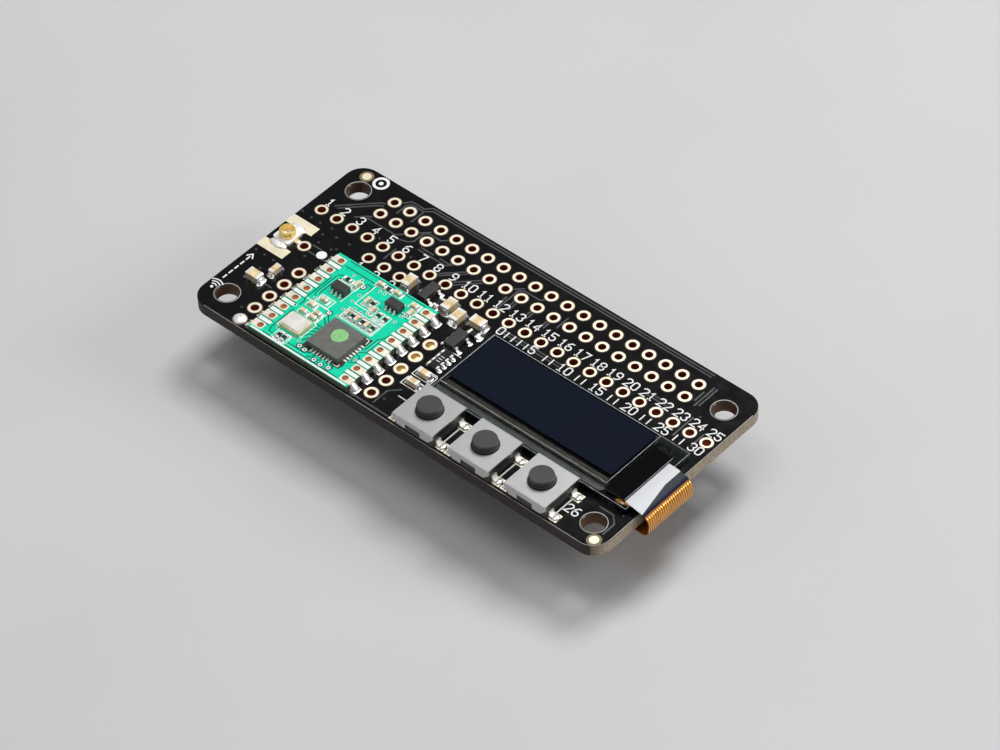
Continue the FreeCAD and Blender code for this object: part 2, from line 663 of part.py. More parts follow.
def display():
    """Foam tape, the two glass plates, polarizer, driver die, its resin and the tail."""
    glass_bottom = TOP + FOAM_THICK
    glass_top = glass_bottom + GLASS_THICK
    cap_top = glass_top + CAP_THICK
    foam = box(GLASS_X[0] + 0.4, CAP_X[1], GLASS_Y[0] + 0.4, GLASS_Y[1] - 0.4, TOP, glass_bottom)
    base_glass = soften(box(*GLASS_X, *GLASS_Y, glass_bottom, glass_top), 0.06)
    cap_glass = soften(box(*CAP_X, *CAP_Y, glass_top, cap_top), 0.05,
                       lambda e: e.BoundBox.ZMin > glass_top + 0.1 or is_upright(e))
    polarizer = box(*POLARIZER_X, *POLARIZER_Y, cap_top, cap_top + POLARIZER_THICK)
    polarizer = soften(polarizer, 0.25, is_upright)
    resin = box(*RESIN_X, *RESIN_Y, glass_top, glass_top + RESIN_THICK)
    resin = soften(resin, 0.12, lambda e: e.BoundBox.ZMin > glass_top + 0.1 or is_upright(e))
    die_box = (*DIE_X, *DIE_Y, glass_top, glass_top + DIE_THICK)
    resin = resin.cut(box(*die_box))
    die = box(*die_box)
    joints = []
    under = -COPPER - FLEX_THICK
    for y in flex_joint_ys():
        joints.append(box(FLEX_END_X - 0.4, FLEX_END_X, y - 0.16, y + 0.16, under, 0))
    return foam, base_glass, cap_glass, polarizer, resin, die, display_flex(), joints


# ---------------------------------------------------------------- push buttons
def button(x):
    """One push button: moulded base, steel cover, four leads, snap dome and plunger."""
    y = BUTTON_Y
    half = COVER_SIZE / 2
    inner = half - SHEET
    seat = TOP + BUTTON_SEAT
    under_cover = TOP + COVER_TOP - SHEET
    base = block(x, y, 2 * inner + 0.1, 2 * inner, TOP, under_cover)
    base = base.cut(disc(x, y, BUTTON_WELL_R, seat, under_cover + 1))

    notch_width, notch_top = COVER_NOTCH
    cover = block(x, y, COVER_SIZE, COVER_SIZE, TOP + COVER_SKIRT, TOP + COVER_TOP)
    cover = cover.cut(block(x, y, COVER_SIZE + 1, 2 * inner, TOP, under_cover))
    cover = soften(cover, COVER_EDGE_R, lambda e: e.BoundBox.ZMin > TOP + COVER_TOP - 0.01
                   and e.BoundBox.YLength < 0.01)
    cover = cover.cut(disc(x, y, PLUNGER_R + 0.22, TOP, TOP + COVER_TOP + 1))
    cover = cover.cut(block(x, y, notch_width, COVER_SIZE + 1, TOP, TOP + notch_top))
    for side in (-1, 1):
        corner = [Vector(side * (half + 0.01), 0, COVER_SKIRT - 0.01),
                  Vector(side * (half - COVER_SHOULDER), 0, COVER_SKIRT - 0.01),
                  Vector(side * (half + 0.01), 0, notch_top)]
        cover = cover.cut(prism(corner, Vector(x, y - half - 1, TOP), Vector(0, COVER_SIZE + 2, 0)))

    leads = []
    side_x = inner + 0.05
    for quarter in (0, 2):
        for offset in (-LEAD_OFFSET, LEAD_OFFSET):
            outline = [Vector(0, 0, COPPER), Vector(LEAD_REACH, 0, COPPER),
                       Vector(LEAD_REACH, 0, COPPER + SHEET), Vector(0.3, 0, COPPER + SHEET),
                       Vector(SHEET, 0, COPPER + 0.3), Vector(SHEET, 0, 0.8), Vector(0, 0, 0.8)]
            lead = prism(outline, Vector(x + side_x, y + offset - LEAD_WIDTH / 2, TOP),
                         Vector(0, LEAD_WIDTH, 0))
            leads.append(quarter_turned(lead, x, y, quarter))

    sphere_r = (DOME_R ** 2 + DOME_RISE ** 2) / (2 * DOME_RISE)
    centre = Vector(x, y, seat + DOME_RISE - sphere_r)
    outer = Part.makeSphere(sphere_r, centre)
    hollow = Part.makeSphere(sphere_r - DOME_THICK, centre)
    dome = outer.cut(hollow).common(disc(x, y, DOME_R, seat, seat + 1))

    nub_z = seat + DOME_RISE + 0.03
    flange_z = TOP + PLUNGER_FLANGE_BOTTOM
    flange_top = under_cover - PLUNGER_GAP
    groove_start, groove_end, groove_depth = PLUNGER_GROOVE
    top = TOP + PLUNGER_TOP
    rounding = 0.08
    profile = [(0, nub_z), (PLUNGER_NUB_R, nub_z), (PLUNGER_NUB_R, flange_z), (PLUNGER_FLANGE_R, flange_z),
               (PLUNGER_FLANGE_R, flange_top), (PLUNGER_R + 0.1, flange_top),
               (PLUNGER_R + 0.1, TOP + groove_start), (PLUNGER_R - groove_depth, TOP + groove_start),
               (PLUNGER_R - groove_depth, TOP + groove_end), (PLUNGER_R, TOP + groove_end),
               (PLUNGER_R, top - rounding), (PLUNGER_R - rounding, top), (0, top)]
    plunger = turned(profile, x, y)
    return base, cover, leads, dome, plunger


# ---------------------------------------------------------------- build everything
def main():
    """Write one STEP file for each node."""
    os.makedirs("parts", exist_ok=True)
    write("board_laminate", [board_laminate()])
    write("header_hole_plating",
          [plated_hole(x, y, HEADER_HOLE_R, HEADER_PAD_R) for x, y in header_centres()])
    write("breakout_hole_plating", [plated_hole(x, y, HOLE_R, HOLE_PAD_R) for x, y in breakout_centres()])
    write("column_hole_plating", [plated_hole(x, y, HOLE_R, COLUMN_PAD_R) for x, y in column_centres()])
    write("component_lands", component_lands())
    write("underside_lands", underside_lands())
    write("fiducial_dots", [disc(x, y, FIDUCIAL_R, TOP, TOP + COPPER) for x, y in FIDUCIALS])

    socket_body, contacts = header_socket()
    write("header_socket_body", [socket_body])
    write("header_socket_contacts", contacts)

    write("radio_module_board", [radio_module_board()])
    write("radio_module_pads", radio_module_pads())
    write("radio_module_solder", radio_module_solder())
    chip_body, chip_pins = radio_chip()
    write("radio_chip_body", [chip_body])
    write("radio_chip_pins", chip_pins)
    crystal_base, crystal_lid = crystal()
    write("crystal_base", [crystal_base])
    write("crystal_lid", [crystal_lid])
    switch_bodies, switch_leads = [], []
    for x, y in SWITCH_CENTRES:
        body, leads = small_package(x, y, MODULE_TOP, SWITCH_SIZE, SWITCH_LEADS, GULL_NARROW, 1)
        switch_bodies.append(body)
        switch_leads += leads
    write("antenna_switch_bodies", switch_bodies)
    write("antenna_switch_leads", switch_leads)
    small_capacitors, coils, small_ends = module_chip_parts()
    write("module_capacitor_bodies", small_capacitors)
    write("module_coil_bodies", coils)
    write("module_chip_ends", small_ends)

    connector_base, connector_shell, connector_pin = antenna_connector()
    write("antenna_connector_base", [connector_base])
    write("antenna_connector_shell", connector_shell)
    write("antenna_connector_pin", connector_pin)

    capacitor_bodies, capacitor_ends, solder = [], [], []
    for x, y, size, turns in CAPACITORS:
        body, ends = chip_part(x, y, TOP, size, turns)
        capacitor_bodies.append(body)
        capacitor_ends += ends
        solder += chip_solder(x, y, TOP, size, turns, CAPACITOR_FILLET_REACH)
    write("capacitor_bodies", capacitor_bodies)
    write("capacitor_ends", capacitor_ends)
    resistor_bodies, resistor_ends = [], []
    for x, y, turns in RESISTORS:
        body, ends = chip_part(x, y, TOP, SIZE_0603_FLAT, turns)
        resistor_bodies.append(body)
        resistor_ends += ends
        solder += chip_solder(x, y, TOP, SIZE_0603_FLAT, turns, RESISTOR_FILLET_REACH)
    write("resistor_bodies", resistor_bodies)
    write("resistor_ends", resistor_ends)
    write("component_solder", solder)
    array_body, array_ends = resistor_array()
    write("resistor_array_body", [array_body])
    write("resistor_array_ends", array_ends)
    transistor_body, transistor_leads = small_package(*TRANSISTOR_CENTRE, TOP, TRANSISTOR_SIZE,
                                                      TRANSISTOR_LEADS, GULL_WIDE, 0)
    write("transistor_body", [transistor_body])
    write("transistor_leads", transistor_leads)
    regulator_body, regulator_leads = small_package(*REGULATOR_CENTRE, TOP, REGULATOR_SIZE,
                                                    REGULATOR_LEADS, GULL_WIDE, 0)
    write("regulator_body", [regulator_body])
    write("regulator_leads", regulator_leads)

    foam, base_glass, cap_glass, polarizer, resin, die, flex, joints = display()
    write("display_foam_tape", [foam])
    write("display_base_glass", [base_glass])
    write("display_cap_glass", [cap_glass])
    write("display_polarizer", [polarizer])
    write("display_driver_resin", [resin])
    write("display_driver_die", [die])
    write("display_flex_tail", [flex])
    write("display_tail_solder", joints)

    for number, x in enumerate(BUTTON_X, start=1):
        base, cover, leads, dome, plunger = button(x)
        name = "button_" + str(number)
        write(name + "_base", [base])
        write(name + "_cover", [cover])
        write(name + "_leads", leads)
        write(name + "_dome", [dome])
        write(name + "_plunger", [plunger])


main()
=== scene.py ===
"""Looks of the radio and display add-on board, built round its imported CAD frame.

Lengths are given in millimetres in the frame of the CAD model: the origin is the centre of the
four mounting holes on the underside of the board, +X runs towards the display's flexible tail,
+Y towards the pin-header edge and +Z out of the component side.
"""
from __future__ import annotations

import functools
import logging
import math
from dataclasses import dataclass, field
from enum import Enum
from typing import Any, Callable, Iterable, Sequence

import bpy
from mathutils import Matrix, Vector


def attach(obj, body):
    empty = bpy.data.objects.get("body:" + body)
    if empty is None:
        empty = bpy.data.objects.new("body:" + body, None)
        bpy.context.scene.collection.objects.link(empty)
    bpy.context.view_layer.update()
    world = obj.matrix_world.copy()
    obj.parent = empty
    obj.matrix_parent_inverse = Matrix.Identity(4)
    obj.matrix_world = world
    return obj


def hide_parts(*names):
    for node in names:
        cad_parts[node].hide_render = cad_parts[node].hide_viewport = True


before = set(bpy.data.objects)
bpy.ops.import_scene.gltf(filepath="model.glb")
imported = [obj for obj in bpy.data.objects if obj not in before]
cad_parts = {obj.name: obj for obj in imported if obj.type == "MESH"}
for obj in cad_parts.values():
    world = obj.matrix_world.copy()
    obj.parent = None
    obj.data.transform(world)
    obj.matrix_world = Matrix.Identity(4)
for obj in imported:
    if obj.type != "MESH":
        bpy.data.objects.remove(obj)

Point = tuple[float, float]
Point3 = tuple[float, float, float]
Colour = tuple[float, float, float]

MM = 0.001
BOARD = "board"
BOARD_TOP = 1.6
COPPER_TOP = 1.65
MODULE_TOP = 2.55
FLOOR_Z = -8.5
PITCH = 2.54
BUTTON_CENTRES = (4.15, 12.8, 21.45)

LOG = logging.getLogger("add_on_board")


# ---------------------------------------------------------------- shader graphs
class Graph:
    """Thin wrapper that adds shader nodes to a tree and joins them."""

    def __init__(self, tree: bpy.types.NodeTree) -> None:
        """Keep the tree that nodes are added to.

        Args:
            tree: Node tree of a material, world or node group.
        """
        self.tree = tree

    def feed(self, socket: bpy.types.NodeSocket, value: Any) -> None:
        """Link a socket to another one, or give it a constant.

        Args:
            socket: Input that receives the value.
            value: Output socket, number or tuple.
        """
        if isinstance(value, bpy.types.NodeSocket):
            self.tree.links.new(value, socket)
        else:
            socket.default_value = value

    def add(self, kind: str, inputs: dict[str | int, Any] | None = None,
            **settings: Any) -> bpy.types.Node:
        """Add a node with its settings and inputs.

        Args:
            kind: Node type identifier.
            inputs: Values or sockets by input name or index.
            settings: Attributes of the node.

        Returns:
            The new node.
        """
        node = self.tree.nodes.new(kind)
        for key, value in settings.items():
            setattr(node, key, value)
        for key, value in (inputs or {}).items():
            self.feed(node.inputs[key], value)
        return node

    def math(self, operation: str, first: Any, second: Any = 0.0,
             clamp: bool = False) -> bpy.types.NodeSocket:
        """Result of a math node.

        Args:
            operation: Name of the operation.
            first: First number or socket.
            second: Second number or socket.
            clamp: Whether the result is kept between 0 and 1.

        Returns:
            The node's output.
        """
        node = self.add("ShaderNodeMath", {0: first, 1: second}, operation=operation,
                        use_clamp=clamp)
        return node.outputs[0]

    def mix(self, factor: Any, first: Any, second: Any) -> bpy.types.NodeSocket:
        """Blend of two colours.

        Args:
            factor: Share of the second colour.
            first: First colour or socket.
            second: Second colour or socket.

        Returns:
            The mixed colour.
        """
        node = self.add("ShaderNodeMix", {0: factor, 6: rgba(first), 7: rgba(second)},
                        data_type="RGBA")
        return node.outputs[2]

    def remap(self, value: Any, source: Point, target: Point) -> bpy.types.NodeSocket:
        """Value moved from one range into another and kept inside it.

        Args:
            value: Number or socket.
            source: Lowest and highest incoming value.
            target: Values that they become.

        Returns:
            The remapped value.
        """
        node = self.add("ShaderNodeMapRange", {0: value, 1: source[0], 2: source[1],
                                               3: target[0], 4: target[1]})
        return node.outputs[0]

    def place(self) -> bpy.types.NodeSocket:
        """Position on the piece in millimetres."""
        source = self.add("ShaderNodeTexCoord").outputs["Object"]
        scaled = self.add("ShaderNodeVectorMath", {0: source, 3: 1 / MM}, operation="SCALE")
        return scaled.outputs[0]

    def axis(self, vector: bpy.types.NodeSocket, name: str) -> bpy.types.NodeSocket:
        """One component, X, Y or Z, of a vector socket."""
        return self.add("ShaderNodeSeparateXYZ", {0: vector}).outputs[name]

    def noise(self, place: Any, scale: Any, detail: float = 3.0) -> bpy.types.NodeSocket:
        """Noise between about 0.3 and 0.7.

        Args:
            place: Position socket.
            scale: Cycles for each millimetre.
            detail: Number of finer layers.

        Returns:
            The noise value.
        """
        node = self.add("ShaderNodeTexNoise", {"Vector": place, "Scale": scale, "Detail": detail})
        return node.outputs[0]

    def bump(self, height: bpy.types.NodeSocket, distance: float) -> bpy.types.NodeSocket:
        """Normal from a height.

        Args:
            height: Height socket.
            distance: Depth in millimetres of a height of 1.

        Returns:
            The bumped normal.
        """
        node = self.add("ShaderNodeBump", {"Height": height, "Distance": distance * MM,
                                           "Strength": 1.0})
        return node.outputs[0]


def rgba(colour: Any) -> Any:
    """Colour with an opaque alpha where it is a plain tuple of three."""
    return (*colour, 1.0) if isinstance(colour, tuple) and len(colour) == 3 else colour


class Effect(Enum):
    """Shader effects that several finishes share, each one a node group."""

    TONE = "ToneDrift"
    GRAIN = "SurfaceGrain"
    BRUSHED = "BrushedLines"
    CLOTH = "GlassCloth"
    FACING = "FacingMask"


def effect_tree(effect: Effect, inputs: Iterable[tuple[str, str, Any]],
                outputs: Iterable[tuple[str, str]]) -> tuple[Graph, Any, Any]:
    """Empty node group with named sockets.

    Args:
        effect: Which effect the group is for.
        inputs: Name, socket type and starting value of each input.
        outputs: Name and socket type of each output.

    Returns:
        The graph and its group input and output nodes.
    """
    tree = bpy.data.node_groups.new(effect.value, "ShaderNodeTree")
    for name, kind, value in inputs:
        socket = tree.interface.new_socket(name=name, in_out="INPUT", socket_type=kind)
        socket.default_value = value
    for name, kind in outputs:
        tree.interface.new_socket(name=name, in_out="OUTPUT", socket_type=kind)
    graph = Graph(tree)
    return graph, graph.add("NodeGroupInput").outputs, graph.add("NodeGroupOutput").inputs


def build_tone(effect: Effect) -> bpy.types.NodeTree:
    """Group that lets a colour drift lighter and darker over the surface."""
    graph, given, out = effect_tree(
        effect,
        (("Colour", "NodeSocketColor", (0.5, 0.5, 0.5, 1.0)),
         ("Drift", "NodeSocketFloat", 0.2), ("Scale", "NodeSocketFloat", 0.5)),
        (("Colour", "NodeSocketColor"),))
    noise = graph.noise(graph.place(), given["Scale"], 4.0)
    swing = graph.math("MULTIPLY", graph.math("SUBTRACT", noise, 0.5), given["Drift"])
    value = graph.math("ADD", graph.math("MULTIPLY", swing, 4.0), 1.0)
    shifted = graph.add("ShaderNodeHueSaturation", {"Value": value, "Color": given["Colour"]})
    graph.feed(out["Colour"], shifted.outputs[0])
    return graph.tree


def build_grain(effect: Effect) -> bpy.types.NodeTree:
    """Group with fine moulded or cast grain as a height, and a roughness around a middle."""
    graph, given, out = effect_tree(
        effect,
        (("Scale", "NodeSocketFloat", 4.0), ("Roughness", "NodeSocketFloat", 0.4),
         ("Swing", "NodeSocketFloat", 0.2)),
        (("Height", "NodeSocketFloat"), ("Roughness", "NodeSocketFloat")))
    place = graph.place()
    noise = graph.noise(place, given["Scale"], 5.0)
    coarse_scale = graph.math("MULTIPLY", given["Scale"], 0.2)
    coarse = graph.math("SUBTRACT", graph.noise(place, coarse_scale), 0.5)
    swing = graph.math("MULTIPLY", coarse, given["Swing"])
    graph.feed(out["Height"], noise)
    graph.feed(out["Roughness"], graph.math("ADD", given["Roughness"], swing, clamp=True))
    return graph.tree


def build_brushed(effect: Effect) -> bpy.types.NodeTree:
    """Group with fine straight rolling lines along X."""
    graph, given, out = effect_tree(
        effect,
        (("Scale", "NodeSocketFloat", 12.0), ("Roughness", "NodeSocketFloat", 0.3),
         ("Swing", "NodeSocketFloat", 0.2)),
        (("Height", "NodeSocketFloat"), ("Roughness", "NodeSocketFloat")))
    stretched = graph.add("ShaderNodeVectorMath", {0: graph.place(), 1: (0.06, 1.0, 1.0)},
                          operation="MULTIPLY").outputs[0]
    lines = graph.noise(stretched, given["Scale"], 3.0)
    swing = graph.math("MULTIPLY", graph.math("SUBTRACT", lines, 0.5), given["Swing"])
    graph.feed(out["Height"], lines)
    graph.feed(out["Roughness"], graph.math("ADD", given["Roughness"], swing, clamp=True))
    return graph.tree


def build_cloth(effect: Effect) -> bpy.types.NodeTree:
    """Group for the sawn edge of glass-fibre laminate: layers of cloth with broken fibres."""
    graph, given, out = effect_tree(
        effect,
        (("Resin", "NodeSocketColor", (0.3, 0.1, 0.02, 1.0)),
         ("Fibre", "NodeSocketColor", (0.6, 0.45, 0.28, 1.0))),
        (("Colour", "NodeSocketColor"), ("Height", "NodeSocketFloat")))
    place = graph.place()
    height = graph.axis(place, "Z")
    waver = graph.math("MULTIPLY", graph.noise(place, 0.8), 0.35)
    layer = graph.math("SINE", graph.math("MULTIPLY", graph.math("ADD", height, waver), 31.0))
    streaks = graph.add("ShaderNodeVectorMath", {0: place, 1: (1.0, 1.0, 5.0)},
                        operation="MULTIPLY").outputs[0]
    broken = graph.remap(graph.noise(streaks, 2.6, 6.0), (0.38, 0.66), (0.0, 1.0))
    layered = graph.remap(layer, (-1.0, 1.0), (0.25, 1.0))
    amount = graph.math("MULTIPLY", broken, layered, clamp=True)
    graph.feed(out["Colour"], graph.mix(amount, given["Resin"], given["Fibre"]))
    graph.feed(out["Height"], amount)
    return graph.tree


def build_facing(effect: Effect) -> bpy.types.NodeTree:
    """Group that tells flat faces, walls along X and deep walls apart."""
    graph, given, out = effect_tree(
        effect, (("Deep Below", "NodeSocketFloat", 1.58),),
        (("Flat", "NodeSocketFloat"), ("Faces X", "NodeSocketFloat"), ("Deep", "NodeSocketFloat")))
    normal = graph.add("ShaderNodeTexCoord").outputs["Normal"]
    upright = graph.math("ABSOLUTE", graph.axis(normal, "Z"))
    along = graph.math("ABSOLUTE", graph.axis(normal, "X"))
    graph.feed(out["Flat"], graph.remap(upright, (0.35, 0.6), (0.0, 1.0)))
    graph.feed(out["Faces X"], graph.remap(along, (0.3, 0.95), (0.0, 1.0)))
    height = graph.axis(graph.place(), "Z")
    graph.feed(out["Deep"], graph.math("LESS_THAN", height, given["Deep Below"]))
    return graph.tree


EFFECT_BUILDERS: dict[Effect, Callable[[Effect], bpy.types.NodeTree]] = {
    Effect.TONE: build_tone,
    Effect.GRAIN: build_grain,
    Effect.BRUSHED: build_brushed,
    Effect.CLOTH: build_cloth,
    Effect.FACING: build_facing,
}


@functools.cache
def effect_group(effect: Effect) -> bpy.types.NodeTree:
    """Node group of an effect, built once."""
    return EFFECT_BUILDERS[effect](effect)


def use_effect(graph: Graph, effect: Effect, **inputs: Any) -> Any:
    """Place an effect's group in a material.

    Args:
        graph: Graph of the material.
        effect: Which effect to place.
        inputs: Values by input name, with underscores for spaces.

    Returns:
        The outputs of the placed group.
    """
    node = graph.add("ShaderNodeGroup")
    node.node_tree = effect_group(effect)
    for name, value in inputs.items():
        graph.feed(node.inputs[name.replace("_", " ")], rgba(value))
    return node.outputs


# ---------------------------------------------------------------- finishes
@dataclass(frozen=True)
class Finish:
    """Opaque finish with drifting tone, fine grain and optional clear top coat."""

    name: str
    colour: Colour
    roughness: float = 0.5
    metallic: float = 0.0
    coat: float = 0.0
    drift: float = 0.15
    drift_scale: float = 0.6
    grain_scale: float = 6.0
    grain_depth: float = 0.004
    swing: float = 0.15
    brushed: bool = False

    def dress(self, graph: Graph, shader: bpy.types.Node) -> None:
        """Connect the effects to the shader.

        Args:
            graph: Graph of the material.
            shader: Its Principled BSDF.
        """
        tone = use_effect(graph, Effect.TONE, Colour=self.colour, Drift=self.drift,
                          Scale=self.drift_scale)
        effect = Effect.BRUSHED if self.brushed else Effect.GRAIN
        grain = use_effect(graph, effect, Scale=self.grain_scale, Roughness=self.roughness,
                           Swing=self.swing)
        graph.feed(shader.inputs["Base Color"], tone["Colour"])
        graph.feed(shader.inputs["Roughness"], grain["Roughness"])
        graph.feed(shader.inputs["Normal"], graph.bump(grain["Height"], self.grain_depth))
        shader.inputs["Metallic"].default_value = self.metallic
        shader.inputs["Coat Weight"].default_value = self.coat
        shader.inputs["Coat Roughness"].default_value = 0.06

    def material(self) -> bpy.types.Material:
        """Material of this finish, built once."""
        return finished(self)


@functools.cache
def finished(finish: Finish) -> bpy.types.Material:
    """Build the material of a finish.

    Args:
        finish: The finish.

    Returns:
        A new material with its nodes in place.
    """
    material = bpy.data.materials.new(finish.name)
    material.use_nodes = True
    graph = Graph(material.node_tree)
    finish.dress(graph, material.node_tree.nodes["Principled BSDF"])
    return material


@dataclass(frozen=True)
class Laminate(Finish):
    """Glass-fibre board: glossy mask on its faces and bare cloth on its sawn edges, with painted light
    on the edges: a pale lit copy of the cloth on the X ends and near-black painted shade on the front
    and back sides.
    """

    resin: Colour = (0.22, 0.075, 0.02)
    fibre: Colour = (0.42, 0.22, 0.09)
    # Painted light on the sawn edges: the pale lit copy of the cloth for the X ends, and the share of
    # brown cloth kept in the near-black painted shade of the front and back sides.
    pale_resin: Colour = (0.30, 0.22, 0.14)
    pale_fibre: Colour = (0.78, 0.70, 0.56)
    dark_share: float = 0.12
    end_x: float = 31.0
    side_y: float = 14.8
    middle_y: float = 0.3

    def dress(self, graph: Graph, shader: bpy.types.Node) -> None:
        """Connect mask and edge to the shader.

        Args:
            graph: Graph of the material.
            shader: Its Principled BSDF.
        """
        facing = use_effect(graph, Effect.FACING)
        tone = use_effect(graph, Effect.TONE, Colour=self.colour, Drift=self.drift,
                          Scale=self.drift_scale)
        grain = use_effect(graph, Effect.GRAIN, Scale=self.grain_scale,
                           Roughness=self.roughness, Swing=self.swing)
        brown = use_effect(graph, Effect.CLOTH, Resin=self.resin, Fibre=self.fibre)
        # Pale lit copy of the cloth: painted light on the X ends.
        pale = use_effect(graph, Effect.CLOTH, Resin=self.pale_resin, Fibre=self.pale_fibre)
        place = graph.place()
        end = graph.math("GREATER_THAN", graph.math("ABSOLUTE", graph.axis(place, "X")),
                         self.end_x)
        off = graph.math("SUBTRACT", graph.axis(place, "Y"), self.middle_y)
        side = graph.math("GREATER_THAN", graph.math("ABSOLUTE", off), self.side_y)
        # Painted shade: the front and back sides are mixed mostly to black.
        dark = graph.mix(self.dark_share, (0.0, 0.0, 0.0), brown["Colour"])
        walls = graph.mix(side, brown["Colour"], dark)
        edge = graph.mix(graph.math("MULTIPLY", end, facing["Faces X"]), walls, pale["Colour"])
        graph.feed(shader.inputs["Base Color"], graph.mix(facing["Flat"], edge, tone["Colour"]))
        smooth = graph.math("MULTIPLY", grain["Roughness"], facing["Flat"])
        rough = graph.math("MULTIPLY", graph.math("SUBTRACT", 1.0, facing["Flat"]), 0.6)
        graph.feed(shader.inputs["Roughness"], graph.math("ADD", smooth, rough))
        height = graph.math("ADD", grain["Height"],
                            graph.math("MULTIPLY", brown["Height"],
                                       graph.math("SUBTRACT", 4.0,
                                                  graph.math("MULTIPLY", facing["Flat"], 4.0))))
        graph.feed(shader.inputs["Normal"], graph.bump(height, self.grain_depth))


@dataclass(frozen=True)
class HolePlating(Finish):
    """Pale gold on the pad ring; the barrel inside the hole takes a darker copper-brown, which is
    painted shade and painted copper interreflection.
    """

    # Darker copper-brown of the barrel: painted shade and painted copper interreflection inside the
    # hole.
    barrel: Colour = (0.16, 0.035, 0.015)

    def dress(self, graph: Graph, shader: bpy.types.Node) -> None:
        """Connect ring and barrel to the shader.

        Args:
            graph: Graph of the material.
            shader: Its Principled BSDF.
        """
        super().dress(graph, shader)
        facing = use_effect(graph, Effect.FACING)
        # Walls deep in the hole take the painted shade colour of the barrel.
        deep = graph.math("MULTIPLY", facing["Deep"],
                          graph.math("SUBTRACT", 1.0, facing["Flat"]))
        tone = use_effect(graph, Effect.TONE, Colour=self.colour, Drift=self.drift,
                          Scale=self.drift_scale)
        graph.feed(shader.inputs["Base Color"], graph.mix(deep, tone["Colour"], self.barrel))


@dataclass(frozen=True)
class Glass(Finish):
    """Clear plate glass with a faint tint and cut edges."""

    def dress(self, graph: Graph, shader: bpy.types.Node) -> None:
        """Connect the tint and the cut edges' roughness to the shader.

        Args:
            graph: Graph of the material.
            shader: Its Principled BSDF.
        """
        facing = use_effect(graph, Effect.FACING)
        tone = use_effect(graph, Effect.TONE, Colour=self.colour, Drift=self.drift,
                          Scale=self.drift_scale)
        graph.feed(shader.inputs["Base Color"], tone["Colour"])
        rough = graph.remap(facing["Flat"], (0.0, 1.0), (0.3, self.roughness))
        graph.feed(shader.inputs["Roughness"], rough)
        shader.inputs["Metallic"].default_value = 0.0
        shader.inputs["Transmission Weight"].default_value = 1.0
        shader.inputs["IOR"].default_value = 1.5


@dataclass(frozen=True)
class TailFilm(Finish):
    """Flexible tail: amber over copper past the bend; on the flat top, a white painted highlight and a
    navy-black painted reflection, where the glossy cover mirrors the lamps and the dim room.
    """

    # Painted highlight (white) and painted reflection (navy black) on the glossy flat top, split along
    # a line in X that slants towards the front.
    film: Colour = (0.66, 0.67, 0.70)
    patch: Colour = (0.006, 0.010, 0.026)
    patch_x: float = 31.95
    patch_y: float = -2.5
    patch_slant: float = 0.18
    film_end_x: float = 33.2
    film_roughness: float = 0.36
    shine: float = 0.12

    def dress(self, graph: Graph, shader: bpy.types.Node) -> None:
        """Connect the amber and the flat top's painted highlight and painted reflection to the shader.

        Args:
            graph: Graph of the material.
            shader: Its Principled BSDF.
        """
        super().dress(graph, shader)
        along = graph.axis(graph.place(), "X")
        up = graph.axis(graph.place(), "Z")
        top = graph.math("MULTIPLY", graph.math("LESS_THAN", along, self.film_end_x),
                         graph.math("GREATER_THAN", up, 1.0))
        amber = use_effect(graph, Effect.TONE, Colour=self.colour, Drift=self.drift,
                           Scale=self.drift_scale)
        # Painted reflection past the slanted line, painted highlight before it.
        across = graph.math("SUBTRACT", self.patch_y, graph.axis(graph.place(), "Y"))
        slant = graph.math("MULTIPLY", graph.math("MAXIMUM", across, 0.0), self.patch_slant)
        start = graph.math("ADD", slant, self.patch_x)
        film = graph.mix(graph.math("GREATER_THAN", along, start), self.film, self.patch)
        graph.feed(shader.inputs["Base Color"], graph.mix(top, amber["Colour"], film))
        shader.inputs["Metallic"].default_value = 0.0
        shader.inputs["Specular IOR Level"].default_value = self.shine
        graph.feed(shader.inputs["Roughness"],
                   graph.remap(top, (0.0, 1.0), (self.roughness, self.film_roughness)))


BLACK_MASK = Laminate("black_solder_mask", (0.0045, 0.0045, 0.005), 0.19, drift=0.25,
                      drift_scale=1.5, grain_scale=3.0, grain_depth=0.006, swing=0.25,
                      resin=(0.075, 0.026, 0.009), fibre=(0.19, 0.085, 0.03))
TRACK_MASK = Finish("mask_over_copper", (0.080, 0.082, 0.086), 0.24, grain_depth=0.003)
COLLAR_MASK = Finish("mask_at_pad_edge", (0.075, 0.048, 0.030), 0.22, grain_depth=0.003)
# Light-grey rim: partly the cut mask edge, partly a painted highlight along the board's edge and round
# the screw holes.
RIM_MASK_HIGHLIGHT = Finish("cut_mask_edge_and_highlight", (0.40, 0.38, 0.35), 0.4, 0.2, drift=0.2, drift_scale=1.2)
BARE_LAMINATE = Finish("bare_laminate", (0.20, 0.16, 0.075), 0.4, drift=0.2, drift_scale=4.0)
MODULE_MASK = Laminate("sea_green_mask", (0.0, 0.68, 0.40), 0.3, drift=0.10, drift_scale=0.8,
                       grain_scale=4.0, grain_depth=0.004, swing=0.15,
                       resin=(0.03, 0.05, 0.03), fibre=(0.12, 0.15, 0.08),
                       pale_resin=(0.03, 0.05, 0.02), pale_fibre=(0.10, 0.14, 0.06))
MODULE_GAP = Finish("deep_green_gap", (0.002, 0.14, 0.085), 0.35)
MODULE_TRACK = Finish("light_green_track", (0.03, 0.80, 0.52), 0.28)
PLATING = HolePlating("pale_gold_plating", (1.0, 0.91, 0.73), 0.5, 0.75, drift=0.1,
                      grain_scale=8.0, grain_depth=0.003, barrel=(0.42, 0.085, 0.03))
LAND_GOLD = Finish("pale_gold_land", (0.98, 0.89, 0.68), 0.5, 0.7, drift=0.12,
                   grain_scale=5.0, grain_depth=0.004)
MODULE_PLATING = HolePlating("module_gold_plating", (1.0, 0.92, 0.78), 0.45, 0.6,
                             barrel=(0.40, 0.13, 0.04))
